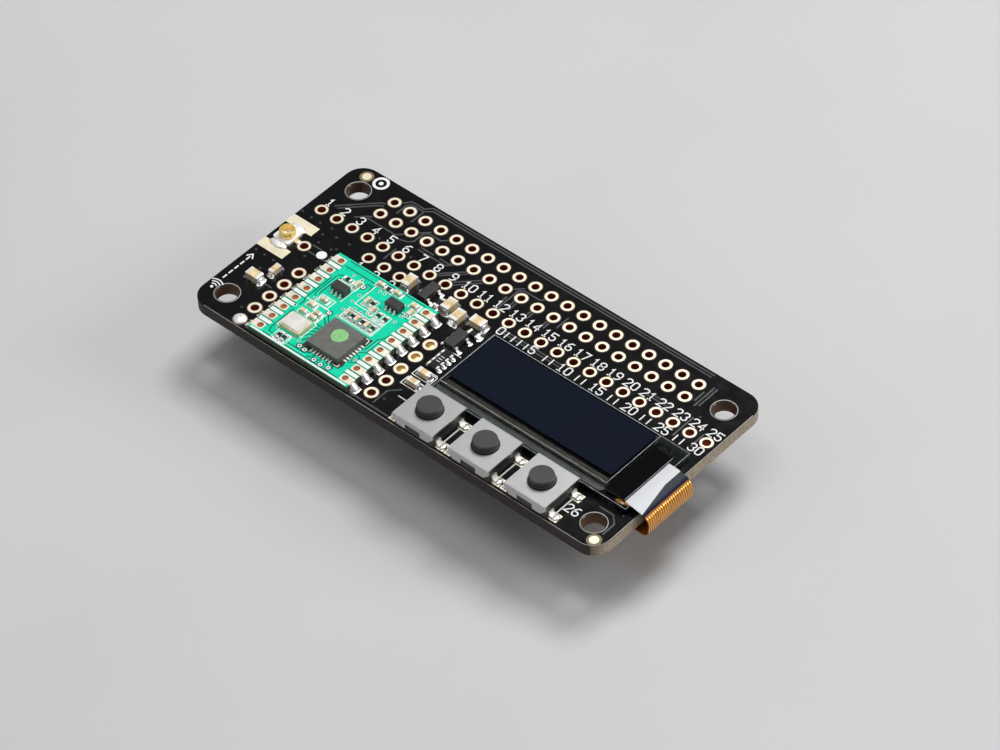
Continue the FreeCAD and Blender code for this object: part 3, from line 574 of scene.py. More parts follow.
# Painted light: copper-brown for the lit copper seen inside the module's edge holes.
LIT_HOLE_INTERIOR = Finish("painted_lit_hole_interior", (0.42, 0.13, 0.035), 0.45, 0.2, drift=0.4, drift_scale=2.5)
SOLDER = Finish("bright_solder", (0.95, 0.94, 0.92), 0.27, 0.9, drift=0.08, drift_scale=2.0,
                grain_scale=5.0, grain_depth=0.01, swing=0.2)
TIN = Finish("satin_tin", (0.93, 0.91, 0.86), 0.45, 0.6, drift=0.1, grain_scale=9.0,
             grain_depth=0.005)
SILK = Finish("white_legend_ink", (0.88, 0.88, 0.87), 0.55, drift=0.08, drift_scale=4.0,
              grain_scale=14.0, grain_depth=0.004)
SOCKET_MOULDING = Finish("socket_moulding", (0.018, 0.018, 0.019), 0.45, drift=0.2,
                         grain_scale=7.0, grain_depth=0.008)
CONTACT_GOLD = Finish("contact_gold", (0.95, 0.62, 0.20), 0.3, 0.9, drift=0.1)
SHELL_GOLD = Finish("shell_gold", (1.0, 0.74, 0.24), 0.38, 0.75, drift=0.1, grain_depth=0.003)
FOOT_SOLDER = Finish("satin_solder", (0.93, 0.92, 0.90), 0.5, 0.45, drift=0.1, drift_scale=2.0,
                     grain_scale=5.0, grain_depth=0.008)
CHIP_MOULDING = Finish("chip_moulding", (0.13, 0.13, 0.118), 0.5, drift=0.14,
                       drift_scale=1.2, grain_scale=12.0, grain_depth=0.008)
SMALL_MOULDING = Finish("small_chip_moulding", (0.035, 0.033, 0.031), 0.45, drift=0.2,
                        grain_scale=14.0, grain_depth=0.006)
CERAMIC = Finish("tan_ceramic", (0.80, 0.62, 0.36), 0.42, drift=0.3, drift_scale=1.6,
                 grain_scale=10.0, grain_depth=0.004)
OVERGLAZE = Finish("black_overglaze", (0.02, 0.02, 0.022), 0.25, coat=0.5)
CREAM_CERAMIC = Finish("cream_ceramic", (0.82, 0.70, 0.46), 0.4, drift=0.15)
LID = Finish("satin_lid", (0.88, 0.86, 0.80), 0.42, 0.45, drift=0.12, grain_depth=0.004)
WHITE_MOULDING = Finish("white_moulding", (0.93, 0.92, 0.90), 0.35, coat=0.2, drift=0.08)
FOAM = Finish("black_foam_tape", (0.02, 0.02, 0.02), 0.85, grain_scale=10.0, grain_depth=0.03)
DISPLAY_GLASS = Glass("display_glass", (0.80, 0.90, 0.86), 0.02, drift=0.03)
POLARIZER = Finish("polarizer_film", (0.004, 0.007, 0.017), 0.1, coat=0.3, drift=0.1,
                   drift_scale=0.2, grain_scale=2.0, grain_depth=0.0004, swing=0.05)
RESIN = Finish("black_resin", (0.0015, 0.0015, 0.002), 0.07, drift=0.2,
               grain_scale=1.2, grain_depth=0.004, swing=0.1)
SILICON = Finish("polished_silicon", (0.12, 0.12, 0.14), 0.1, 0.6)
TAIL = TailFilm("tail_film", (0.30, 0.10, 0.012), 0.3, drift=0.2, drift_scale=1.0,
                grain_scale=0.9, grain_depth=0.02)
TRACK_COPPER = Finish("track_copper", (0.95, 0.46, 0.10), 0.3, 0.6, drift=0.15)
STEEL = Finish("stamped_steel", (0.54, 0.537, 0.533), 0.40, 0.85, drift=0.05, grain_scale=9.0,
               grain_depth=0.001, swing=0.06, brushed=True)
BUTTON_MOULDING = Finish("button_moulding", (0.012, 0.012, 0.012), 0.4, drift=0.2)
PLUNGER = Finish("plunger_moulding", (0.045, 0.045, 0.047), 0.42, drift=0.15,
                 grain_scale=16.0, grain_depth=0.01, swing=0.15)
AMBER_GLUE = Finish("amber_adhesive", (0.30, 0.12, 0.015), 0.15, coat=0.6)
PAINT_DOT = Finish("green_paint_dot", (0.24, 0.56, 0.21), 0.6, drift=0.25, drift_scale=3.0,
                   grain_scale=9.0, grain_depth=0.01)
SEAL = Finish("seal_band", (0.075, 0.050, 0.036), 0.4, drift=0.3, drift_scale=2.0)
LEDGE = Finish("ledge_film", (0.012, 0.017, 0.017), 0.3, drift=0.25, drift_scale=2.0)
LINE_METAL = Finish("conductor_film", (0.30, 0.33, 0.31), 0.3, 0.6, drift=0.2)
# Painted highlight: light lines along the cut edges of the display glass.
GLASS_EDGE_HIGHLIGHT = Finish("glass_edge_painted_highlight", (0.46, 0.52, 0.54), 0.3, drift=0.5, drift_scale=1.5)
PIN_GAP = Finish("pin_gap", (0.040, 0.020, 0.011), 0.4, drift=0.2)
FLOOR = Finish("pale_floor", (0.60, 0.60, 0.60), 0.85, drift=0.03, drift_scale=0.02,
               grain_scale=1.5, grain_depth=0.02)


# ---------------------------------------------------------------- meshes
class LineEnd(Enum):
    """How a drawn line ends."""

    ROUND = "round"
    SQUARE = "square"


def arc(x: float, y: float, radius: float, start: float, end: float,
        steps: int = 8) -> list[Point]:
    """Points along a circular arc.

    Args:
        x: Centre.
        y: Centre.
        radius: Radius.
        start: First angle in degrees.
        end: Last angle in degrees.
        steps: Number of steps.

    Returns:
        The points, first and last included.
    """
    angles = [math.radians(start + (end - start) * i / steps) for i in range(steps + 1)]
    return [(x + radius * math.cos(a), y + radius * math.sin(a)) for a in angles]


def rectangle(x0: float, x1: float, y0: float, y1: float) -> list[Point]:
    """Corners of a rectangle, counter-clockwise."""
    return [(x0, y0), (x1, y0), (x1, y1), (x0, y1)]


def mitre(before: Point | None, here: Point, after: Point | None, half: float) -> Point:
    """Offset to the left of a path at one of its points.

    Args:
        before: Point before it, or None at the start.
        here: The point.
        after: Point after it, or None at the end.
        half: Half the width of the line.

    Returns:
        The offset from the point to the line's left side.
    """
    normals = []
    for first, second in ((before, here), (here, after)):
        if first is not None and second is not None:
            dx, dy = second[0] - first[0], second[1] - first[1]
            length = math.hypot(dx, dy)
            normals.append((-dy / length, dx / length))
    nx = sum(n[0] for n in normals)
    ny = sum(n[1] for n in normals)
    length = math.hypot(nx, ny)
    stretch = min(2.0, 2.0 / max(length, 0.5)) if len(normals) == 2 else 1.0
    return nx / length * half * stretch, ny / length * half * stretch


class Draft:
    """Mesh under construction, in millimetres."""

    def __init__(self) -> None:
        """Start with no points and no faces."""
        self.points: list[Point3] = []
        self.faces: list[tuple[int, ...]] = []
        self.smooth: list[bool] = []

    def layer(self, outline: Sequence[Point], height: float) -> list[int]:
        """Add points at one height and give their indices."""
        start = len(self.points)
        self.points += [(x, y, height) for x, y in outline]
        return list(range(start, len(self.points)))

    def face(self, indices: Iterable[int], smooth: bool = False) -> None:
        """Add one face."""
        self.faces.append(tuple(indices))
        self.smooth.append(smooth)

    def wall(self, lower: Sequence[int], upper: Sequence[int], closed: bool = True,
             smooth: bool = False) -> None:
        """Join two loops of points with quads.

        Args:
            lower: Indices of the lower loop, counter-clockwise from above.
            upper: Indices of the upper loop.
            closed: Whether the last point joins the first.
            smooth: Whether the quads are shaded smooth.
        """
        count = len(lower) if closed else len(lower) - 1
        for i in range(count):
            j = (i + 1) % len(lower)
            self.face((lower[i], lower[j], upper[j], upper[i]), smooth)

    def prism(self, outline: Sequence[Point], z0: float, z1: float, smooth: bool = False) -> None:
        """Closed upright prism of a convex outline, counter-clockwise from above."""
        lower, upper = self.layer(outline, z0), self.layer(outline, z1)
        self.face(reversed(lower))
        self.face(upper)
        self.wall(lower, upper, smooth=smooth)

    def disc(self, x: float, y: float, radius: float, z0: float, z1: float,
             steps: int = 20) -> None:
        """Closed upright disc."""
        self.prism(arc(x, y, radius, 0, 360, steps)[:-1], z0, z1, smooth=True)

    def block(self, x: float, y: float, size: Point, z0: float, z1: float) -> None:
        """Closed upright block centred on x, y."""
        half_x, half_y = size[0] / 2, size[1] / 2
        self.prism(rectangle(x - half_x, x + half_x, y - half_y, y + half_y), z0, z1)

    def ring(self, x: float, y: float, inner: float, outer: float, z0: float, z1: float,
             steps: int = 28) -> None:
        """Closed flat ring."""
        circles = [arc(x, y, radius, 0, 360, steps)[:-1] for radius in (inner, outer)]
        inner_low, outer_low = (self.layer(circle, z0) for circle in circles)
        inner_high, outer_high = (self.layer(circle, z1) for circle in circles)
        self.wall(outer_low, outer_high, smooth=True)
        self.wall(inner_high, inner_low, smooth=True)
        self.wall(outer_high, inner_high)
        self.wall(inner_low, outer_low)

    def lip(self, x: float, y: float, inner: float, outer: float, z0: float, z1: float,
            steps: int = 44) -> None:
        """Closed sloping lip round a hole.

        Args:
            x: Centre.
            y: Centre.
            inner: Radius at the low inner edge.
            outer: Radius at the foot outside.
            z0: Height of the inner edge.
            z1: Height of the crest.
            steps: Number of sides.
        """
        crest = outer - 0.03
        rings = [self.layer(arc(x, y, radius, 0, 360, steps)[:-1], height)
                 for radius, height in ((inner, z0), (crest, z1), (outer, BOARD_TOP - 0.005),
                                        (crest, z0))]
        for low, high in zip(rings, rings[1:] + rings[:1]):
            self.wall(high, low, smooth=True)

    def line(self, path: Sequence[Point], width: float, z0: float, z1: float,
             end: LineEnd = LineEnd.ROUND, flare: float = 0.0) -> None:
        """Drawn line of even width: a closed strip with mitred corners.

        Args:
            path: Points along the middle of the line.
            width: Width at the top.
            z0: Bottom of the strip.
            z1: Top of the strip.
            end: How both ends are finished.
            flare: How much further out the foot of each side stands.
        """
        closed = len(path) > 3 and math.dist(path[0], path[-1]) < 1e-6
        points = list(path[:-1]) if closed else list(path)
        count = len(points)
        sides: dict[bool, list[list[Point]]] = {}
        for foot in (True, False):
            half = width / 2 + (flare if foot else 0.0)
            left, right = [], []
            for i, here in enumerate(points):
                before = points[i - 1] if closed or i > 0 else None
                after = points[(i + 1) % count] if closed or i < count - 1 else None
                dx, dy = mitre(before, here, after, half)
                left.append((here[0] + dx, here[1] + dy))
                right.append((here[0] - dx, here[1] - dy))
            sides[foot] = [left, right]
        left_low, right_low = (self.layer(side, z0) for side in sides[True])
        left_high, right_high = (self.layer(side, z1) for side in sides[False])
        self.wall(right_low, right_high, closed)
        self.wall(left_high, left_low, closed)
        self.wall(right_high, left_high, closed)
        self.wall(left_low, right_low, closed)
        if closed:
            return
        for i, turn in ((0, 1), (count - 1, -1)):
            arcs = []
            for foot, z in ((True, z0), (False, z1)):
                first, last = sides[foot][0][i], sides[foot][1][i]
                arcs.append(self.layer(self._cap(points[i], first, last, end, turn), z))
            low = [left_low[i], *arcs[0], right_low[i]]
            high = [left_high[i], *arcs[1], right_high[i]]
            if turn < 0:
                low.reverse()
                high.reverse()
            self.face(reversed(low))
            self.face(high)
            self.wall(low, high, closed=False, smooth=end is LineEnd.ROUND)

    @staticmethod
    def _cap(centre: Point, first: Point, last: Point, end: LineEnd, turn: int) -> list[Point]:
        """Points of a line's end between its two sides.

        Args:
            centre: End point of the path.
            first: Left side's last point.
            last: Right side's last point.
            end: How the end is finished.
            turn: 1 at the start of the path and -1 at its end.

        Returns:
            The points from left to right.
        """
        radius = math.dist(first, centre)
        start = math.degrees(math.atan2(first[1] - centre[1], first[0] - centre[0]))
        if end is LineEnd.ROUND:
            return arc(*centre, radius, start, start + turn * 180, 6)[1:-1]
        middle = math.radians(start + turn * 90)
        mx, my = math.cos(middle) * radius * 0.02, math.sin(middle) * radius * 0.02
        return [((first[0] + last[0]) / 2 + mx, (first[1] + last[1]) / 2 + my)]

    def fillet(self, x: float, y: float, z: float, reach: float, width: float, height: float,
               angle: float, steps: int = 6) -> None:
        """Solder meniscus that climbs a wall at x, y and runs out flat in a direction.

        Args:
            x: Middle of the wall's foot.
            y: Middle of the wall's foot.
            z: Height of the foot.
            reach: How far it runs out.
            width: Width along the wall.
            height: How high it climbs.
            angle: Direction in degrees in which it runs out.
            steps: Fineness of the curved face.
        """
        turn = math.radians(angle)
        out_x, out_y = math.cos(turn), math.sin(turn)
        grid: list[list[int]] = []
        for i in range(steps + 1):
            u = i / steps
            row = []
            spread = width / 2 * (1.0 + 0.12 * math.sin(math.pi * u))
            for j in range(steps + 1):
                v = 2 * j / steps - 1
                round_off = (1 - v * v) ** 0.5
                out = reach * u * (0.72 + 0.28 * round_off)
                rise = height * ((1 - u) ** 1.9 * (0.55 + 0.45 * round_off)
                                 + 0.10 * math.sin(math.pi * u) * round_off)
                side = spread * v
                if j in (0, steps) or i == steps:
                    rise = 0.0 if i > 0 else rise * 0.5
                row.append(len(self.points))
                self.points.append((x + out_x * out - out_y * side,
                                    y + out_y * out + out_x * side, z + rise))
            grid.append(row)
        for first, second in zip(grid, grid[1:]):
            for j in range(steps):
                self.face((first[j], second[j], second[j + 1], first[j + 1]), True)
        start = len(self.points)
        for side in (-1, 1):
            self.points.append((x - out_y * side * width / 2, y + out_x * side * width / 2, z))
        low_a, low_b = start, start + 1
        self.face((low_a, *grid[0], low_b))
        rim = [row[0] for row in grid[1:]] + grid[-1][1:]
        rim += [row[-1] for row in reversed(grid[1:-1])]
        self.face((low_a, grid[0][0], grid[1][0]))
        self.face((low_b, grid[1][-1], grid[0][-1]))
        self.face((low_a, *rim, low_b))

    def blob(self, x: float, y: float, z: float, size: Point3, steps: int = 10) -> None:
        """Flat-bottomed dome, such as a bead of solder or glue.

        Args:
            x: Centre.
            y: Centre.
            z: Height of its foot.
            size: Length, width and height.
            steps: Points in its outline are twice this.
        """
        rings = []
        for level in range(4):
            lift = math.sin(level / 4 * math.pi / 2)
            shrink = math.cos(level / 4 * math.pi / 2)
            outline = [(x + size[0] / 2 * shrink * math.cos(a), y + size[1] / 2 * shrink * math.sin(a))
                       for a in (math.pi * i / steps for i in range(2 * steps))]
            rings.append(self.layer(outline, z + size[2] * lift))
        for low, high in zip(rings, rings[1:]):
            self.wall(low, high, smooth=True)
        top = len(self.points)
        self.points.append((x, y, z + size[2]))
        last = rings[-1]
        for i, index in enumerate(last):
            self.face((index, last[(i + 1) % len(last)], top), True)
        self.face(reversed(rings[0]))

    def piece(self, name: str, finish: Finish, slot: str, body: str = BOARD) -> bpy.types.Object:
        """Turn the draft into an object that rides on a body.

        Args:
            name: Name of the piece.
            finish: Its finish.
            slot: Material slot of the record; not used.
            body: CAD body that it moves with.

        Returns:
            The new object.
        """
        mesh = bpy.data.meshes.new(name)
        mesh.from_pydata([Vector(point) * MM for point in self.points], [], self.faces)
        mesh.polygons.foreach_set("use_smooth", self.smooth)
        mesh.validate()
        mesh.update()
        mesh.materials.append(finish.material())
        thing = bpy.data.objects.new(name, mesh)
        bpy.context.scene.collection.objects.link(thing)
        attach(thing, body)
        LOG.info("%s: %d faces", name, len(self.faces))
        return thing


def dress(node: str, finish: Finish) -> None:
    """Give a CAD node its finish.

    Args:
        node: Name of the CAD node.
        finish: Finish for all of its faces.
    """
    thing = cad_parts[node]
    if not thing.material_slots:
        thing.data.materials.append(None)
    for place in thing.material_slots:
        place.material = finish.material()


# ---------------------------------------------------------------- studio
@dataclass
class SoftLight:
    """Rectangular soft light that points at the board."""

    name: str
    place: Point3
    size: Point
    watts: float
    target: Point3 = (0.0, 0.0, 0.0)
    colour: Colour = (1.0, 1.0, 1.0)

    def build(self) -> None:
        """Add the light to the scene."""
        lamp = bpy.data.lights.new(self.name, "AREA")
        lamp.shape = "RECTANGLE"
        lamp.size, lamp.size_y = self.size[0] * MM, self.size[1] * MM
        lamp.energy = self.watts
        lamp.color = self.colour
        thing = bpy.data.objects.new(self.name, lamp)
        spot, aim = Vector(self.place) * MM, Vector(self.target) * MM
        thing.location = spot
        thing.rotation_euler = (aim - spot).to_track_quat("-Z", "Y").to_euler()
        bpy.context.scene.collection.objects.link(thing)


@dataclass
class Studio:
    """Pale floor, soft lights and a dim room."""

    floor_radius: float = 1500.0
    room: Colour = (0.085, 0.088, 0.092)
    lights: tuple[SoftLight, ...] = (
        SoftLight("key", (-10.0, 300.0, 590.0), (250.0, 250.0), 2.7),
        SoftLight("overhead", (-40.0, -80.0, 640.0), (380.0, 380.0), 1.25),
        SoftLight("right_edge", (430.0, 300.0, 290.0), (200.0, 200.0), 1.0),
        SoftLight("left_edge", (-290.0, -430.0, 300.0), (60.0, 220.0), 0.25),
        SoftLight("front_fill", (420.0, -320.0, 380.0), (260.0, 260.0), 0.15),
    )

    def build(self) -> None:
        """Add floor, lights and room light."""
        draft = Draft()
        draft.disc(0.0, 0.0, self.floor_radius, FLOOR_Z - 5.0, FLOOR_Z, 64)
        mesh = bpy.data.meshes.new("floor")
        mesh.from_pydata([Vector(point) * MM for point in draft.points], [], draft.faces)
        mesh.materials.append(FLOOR.material())
        floor = bpy.data.objects.new("floor", mesh)
        bpy.context.scene.collection.objects.link(floor)
        for light in self.lights:
            light.build()
        world = bpy.data.worlds.new("room")
        world.use_nodes = True
        background = world.node_tree.nodes["Background"]
        background.inputs["Color"].default_value = rgba(self.room)
        bpy.context.scene.world = world
        bpy.context.scene.view_settings.view_transform = "Standard"


@dataclass
class ViewCamera:
    """Camera that looks down on the front right corner of the board."""

    target: Point3 = (5.293, -0.937, 1.689)
    distance: float = 529.93
    azimuth: float = 43.878
    elevation: float = 45.641
    roll: float = -2.968
    lens: float = 163.107

    def build(self) -> None:
        """Create the camera and make it the scene's own."""
        turn, lift = math.radians(self.azimuth), math.radians(self.elevation)
        back = Vector((math.sin(turn) * math.cos(lift), -math.cos(turn) * math.cos(lift),
                       math.sin(lift)))
        level = Vector((0, 0, 1)).cross(back).normalized()
        upward = back.cross(level)
        tilt = math.radians(self.roll)
        right = level * math.cos(tilt) + upward * math.sin(tilt)
        up = back.cross(right)
        lens = bpy.data.cameras.new("camera")
        lens.sensor_width = 36.0
        lens.lens = self.lens
        lens.clip_start = 0.01
        lens.clip_end = 20.0
        camera = bpy.data.objects.new("camera", lens)
        turned = Matrix((right, up, back)).transposed().to_4x4()
        place = (Vector(self.target) + back * self.distance) * MM
        camera.matrix_world = Matrix.Translation(place) @ turned
        bpy.context.scene.collection.objects.link(camera)
        bpy.context.scene.camera = camera


# ---------------------------------------------------------------- legend
DIGIT_STROKES: dict[str, tuple[tuple[Point, ...], ...]] = {
    "0": (((1, 0), (3, 0), (4, 1), (4, 5), (3, 6), (1, 6), (0, 5), (0, 1), (1, 0)),),
    "1": (((0.8, 4.8), (2, 6), (2, 0)), ((0.8, 0), (3.2, 0))),
    "2": (((0, 5), (1, 6), (3, 6), (4, 5), (4, 4), (0, 0), (4, 0)),),
    "3": (((0, 5), (1, 6), (3, 6), (4, 5), (4, 4), (3, 3), (4, 2), (4, 1), (3, 0), (1, 0),
           (0, 1)),),
    "4": (((3, 0), (3, 6), (0, 2), (4, 2)),),
    "5": (((4, 6), (0, 6), (0, 3.4), (3, 3.4), (4, 2.5), (4, 1), (3, 0), (1, 0), (0, 1)),),
    "6": (((3.5, 6), (2, 6), (0, 4), (0, 1), (1, 0), (3, 0), (4, 1), (4, 2.2), (3, 3.2),
           (0, 3.2)),),
    "7": (((0, 6), (4, 6), (1.5, 0)),),
    "8": (((1, 3), (0, 4), (0, 5), (1, 6), (3, 6), (4, 5), (4, 4), (3, 3), (1, 3), (0, 2),
           (0, 1), (1, 0), (3, 0), (4, 1), (4, 2), (3, 3)),),
    "9": (((0.5, 0), (2, 0), (4, 2), (4, 5), (3, 6), (1, 6), (0, 5), (0, 3.8), (1, 2.8),
           (4, 2.8)),),
}


@dataclass
class NumberStyle:
    """Drawn digits: their height, width and line."""

    height: float = 1.2
    width: float = 0.72
    gap: float = 0.34
    line: float = 0.17

    def draw(self, draft: Draft, number: int, x: float, y: float, z0: float, z1: float) -> None:
        """Draw a number centred on x, y.

        Args:
            draft: Draft that the strokes are added to.
            number: Number to draw.
            x: Centre.
            y: Centre.
            z0: Bottom of the ink.
            z1: Top of the ink.
        """
        digits = str(number)
        total = len(digits) * self.width + (len(digits) - 1) * self.gap
        left = x - total / 2
        for digit in digits:
            for stroke in DIGIT_STROKES[digit]:
                path = [(left + px / 4 * self.width, y + (py / 6 - 0.5) * self.height)
                        for px, py in stroke]
                draft.line(path, self.line, z0, z1)
            left += self.width + self.gap


# ---------------------------------------------------------------- bare board
@dataclass
class BareBoard:
    """Laminate, plated holes, lands and the copper that shows through the mask."""

    left: float = -32.2
    right: float = 32.2
    front: float = -14.85
    back: float = 15.45
    corner: float = 2.5
    header_rows: tuple[float, float] = (12.77, 10.23)
    header_count: int = 20
    header_pad: float = 0.84
    breakout: Point = (-30.14, 6.18)
    breakout_count: int = 25
    trio: Point = (-19.98, 3.65)
    antenna_hole: Point = (-27.4, 0.2)
    left_column: Point = (-24.68, -3.59)
    right_column: Point = (-4.4, -2.47)
    column_count: int = 5
    hole_pad: float = 0.83
    column_pad: float = 0.88
    hole: float = 0.55
    plugged_count: int = 3
    track_width: float = 0.15
    track_height: float = 0.028
    via_radius: float = 0.16
    mount: Point = (29.0, 11.5)
    fiducials: tuple[Point, ...] = ((-29.9, 14.0), (30.75, -13.5))
    mount_radius: float = 1.52
    rim_inset: float = 0.085
    rim_width: float = 0.03

    tracks: tuple[tuple[Point, ...], ...] = (
        ((-23.3, 13.4), (-22.6, 14.25), (-20.6, 14.25), (-19.75, 15.05), (24.6, 15.05)),
        ((-20.3, 11.6), (-20.3, 13.95), (-19.4, 14.62), (24.4, 14.62)),
        ((-22.7, 11.6), (-22.7, 13.3), (-22.3, 13.85), (-20.4, 13.85)),
        ((-24.9, 11.9), (-25.35, 11.75), (-29.4, 7.75)),
        ((-24.8, 11.4), (-25.15, 11.35), (-28.85, 7.65)),
        ((-24.6, 9.15), (-25.1, 8.9), (-26.2, 7.8)),
        ((-24.9, 8.68), (-20.3, 8.68), (-19.6, 9.35)),
        ((-19.6, 8.35), (-18.3, 8.72), (-17.75, 9.3), (-17.75, 10.95), (-17.2, 11.42),
         (-15.3, 11.42), (-14.6, 12.1)),
        ((-18.2, 10.8), (-17.25, 11.72)),
        ((-16.3, 9.05), (-14.4, 9.05)),
        ((-13.3, 9.05), (-11.9, 9.05), (-11.5, 9.45)),
        ((-16.4, 8.58), (-12.1, 8.58), (-11.2, 9.4)),
        ((-9.35, 9.4), (-12.1, 6.7)),
        ((-8.8, 9.4), (-11.5, 6.8)),
        ((-6.95, 9.5), (-9.7, 6.8)),
        ((-6.4, 9.4), (-9.1, 6.7)),
        ((-2.95, 10.85), (-2.1, 11.7)),
        ((-2.4, 7.2), (-2.4, 10.95), (-1.75, 11.42), (0.6, 11.42), (1.2, 12.0)),
        ((-2.8, 7.5), (-2.8, 9.3)),
        ((-1.6, 7.9), (-1.6, 9.4)),
        ((-1.18, 7.9), (-1.18, 9.4)),
        ((1.0, 8.2), (1.0, 9.4)),
        ((1.42, 8.2), (1.42, 9.4)),
        ((3.6, 8.2), (3.6, 9.4)),
        ((4.0, 8.2), (4.0, 9.4)),
        ((5.2, 9.2), (5.2, 11.3)),
        ((25.35, 10.5), (25.35, 12.2)),
        ((25.85, 9.8), (25.85, 13.5)),
        ((26.3, 10.2), (26.3, 13.5)),
        ((20.2, 8.15), (24.0, 8.15)),
        ((20.2, 7.7), (24.0, 7.7)),
        ((27.0, 4.6), (27.0, 8.3)),
        ((29.7, 4.6), (29.7, 6.9)),
        ((0.0, 4.95), (9.8, 4.95)),
        ((0.0, 4.5), (9.8, 4.5)),
        ((-26.7, 1.05), (-25.3, 1.05)),
        ((-26.7, -0.1), (-23.6, -0.1)),
        ((-18.55, 4.8), (-18.55, 6.9)),
        ((-25.6, -7.5), (-27.2, -7.5), (-27.9, -8.4)),
        ((-2.0, -10.0), (-3.2, -11.2), (-3.2, -13.6)),
        ((-23.4, -14.2), (1.0, -14.2)),
        ((27.9, -9.2), (29.9, -9.2), (30.9, -10.2), (30.9, -12.2)),
    )
    vias: tuple[Point, ...] = (
        (-26.9, 4.6), (-25.4, 3.8), (-23.4, 3.9), (-27.1, 3.1), (-26.5, 1.8), (-24.5, 1.85),
        (-24.0, 2.3), (-31.8, 4.6), (-30.2, 4.4), (-28.7, 4.4), (-31.5, -3.9), (-30.1, -3.9),
        (-28.6, -3.9), (-28.9, -5.9), (-26.0, -12.1), (-21.3, 7.0), (-16.2, 7.0), (-26.2, -1.0),
        (30.9, -8.6), (27.6, 8.9), (-6.2, -13.2), (-7.4, -12.6), (-2.6, -12.4),
    )

    def header_holes(self) -> list[Point]:
        """Centres of the forty header holes."""
        middle = (self.header_count - 1) / 2
        return [((i - middle) * PITCH, y) for y in self.header_rows
                for i in range(self.header_count)]

    def column(self, start: Point) -> list[Point]:
        """Centres of the holes down one side of the radio module."""
        return [(start[0], start[1] - PITCH * i) for i in range(self.column_count)]

    def breakout_holes(self) -> list[Point]:
        """Centres of the row, the three loose holes and the antenna hole."""
        row = [(self.breakout[0] + PITCH * i, self.breakout[1])
               for i in range(self.breakout_count)]
        trio = [(self.trio[0] + PITCH * i, self.trio[1]) for i in range(3)]
        return row + trio + [self.antenna_hole]

    def padded_holes(self) -> list[tuple[list[Point], float]]:
        """Groups of plated holes, each with the radius of its pads."""
        columns = self.column(self.left_column) + self.column(self.right_column)
        return [(self.header_holes(), self.header_pad), (self.breakout_holes(), self.hole_pad),
                (columns, self.column_pad)]

    def dress(self) -> None:
        """Give the board's CAD nodes their finishes."""
        dress("board_laminate", BLACK_MASK)
        for node in ("header_hole_plating", "breakout_hole_plating", "column_hole_plating"):
            dress(node, PLATING)
        for node in ("component_lands", "underside_lands", "fiducial_dots"):
            dress(node, LAND_GOLD)

    def build_tracks(self) -> None:
        """Copper tracks, tented vias and pad collars under the mask on the top face."""
        draft = Draft()
        low, high = BOARD_TOP - 0.01, BOARD_TOP + self.track_height
        for path in self.tracks:
            draft.line(path, self.track_width, low, high, flare=0.05)
        for x, y in self.vias:
            draft.ring(x, y, self.via_radius * 0.5, self.via_radius, low, high, 14)
        draft.piece("board_tracks", TRACK_MASK, "solder_mask")
        collars = Draft()
        for centres, pad in self.padded_holes():
            for x, y in centres:
                collars.ring(x, y, pad + 0.01, pad + 0.13, low, high)
        collars.piece("pad_collars", COLLAR_MASK, "solder_mask")

    def build_rims(self) -> None:
        """Thin light-grey rims where the mask ends at the board's edge and round its screw holes:
        partly the real mask edge, partly a painted highlight.
        """
        draft = Draft()
        inset, corner = self.rim_inset, self.corner
        bend = arc(self.right - corner, self.front + corner, corner - inset, 270, 360)
        path = [(self.left + corner, self.front + inset), *bend,
                (self.right - inset, self.back - corner)]
        draft.line(path, self.rim_width, BOARD_TOP - 0.01, BOARD_TOP + 0.03, flare=0.04)
        for side_x in (-1, 1):
            for side_y in (-1, 1):
                x, y = side_x * self.mount[0], side_y * self.mount[1]
                draft.lip(x, y, self.mount_radius - 0.1, self.mount_radius + 0.16,
                          BOARD_TOP - 0.07, BOARD_TOP + 0.045)
        draft.piece("mask_rims", RIM_MASK_HIGHLIGHT, "solder_mask")

    def build_openings(self) -> None:
        """Bare laminate in the mask openings round the two alignment dots."""
        draft = Draft()
        for x, y in self.fiducials:
            draft.ring(x, y, 0.61, 0.92, BOARD_TOP - 0.01, BOARD_TOP + 0.012, 32)
        draft.piece("alignment_openings", BARE_LAMINATE, "solder_mask")

    def build_fillings(self) -> None:
        """Gold plugs in three holes and the domed solder joint in a fourth."""
        plugs = Draft()
        for x, y in self.column(self.right_column)[:self.plugged_count]:
            plugs.blob(x, y, BOARD_TOP - 0.12, (2 * self.hole - 0.02, 2 * self.hole - 0.02, 0.1))
        plugs.piece("plugged_holes", CONTACT_GOLD, "gold_plating")
        x, y = self.column(self.left_column)[-1]
        joint = Draft()
        joint.blob(x, y, COPPER_TOP, (1.85, 1.8, 0.42))
        joint.blob(x + 0.1, y + 0.18, COPPER_TOP + 0.33, (0.5, 0.34, 0.18))
        joint.piece("ground_solder_joint", FOOT_SOLDER, "solder")

    def build(self) -> None:
        """Dress the CAD nodes and add the board's own detail."""
        self.dress()
        self.build_tracks()
        self.build_rims()
        self.build_openings()
        self.build_fillings()


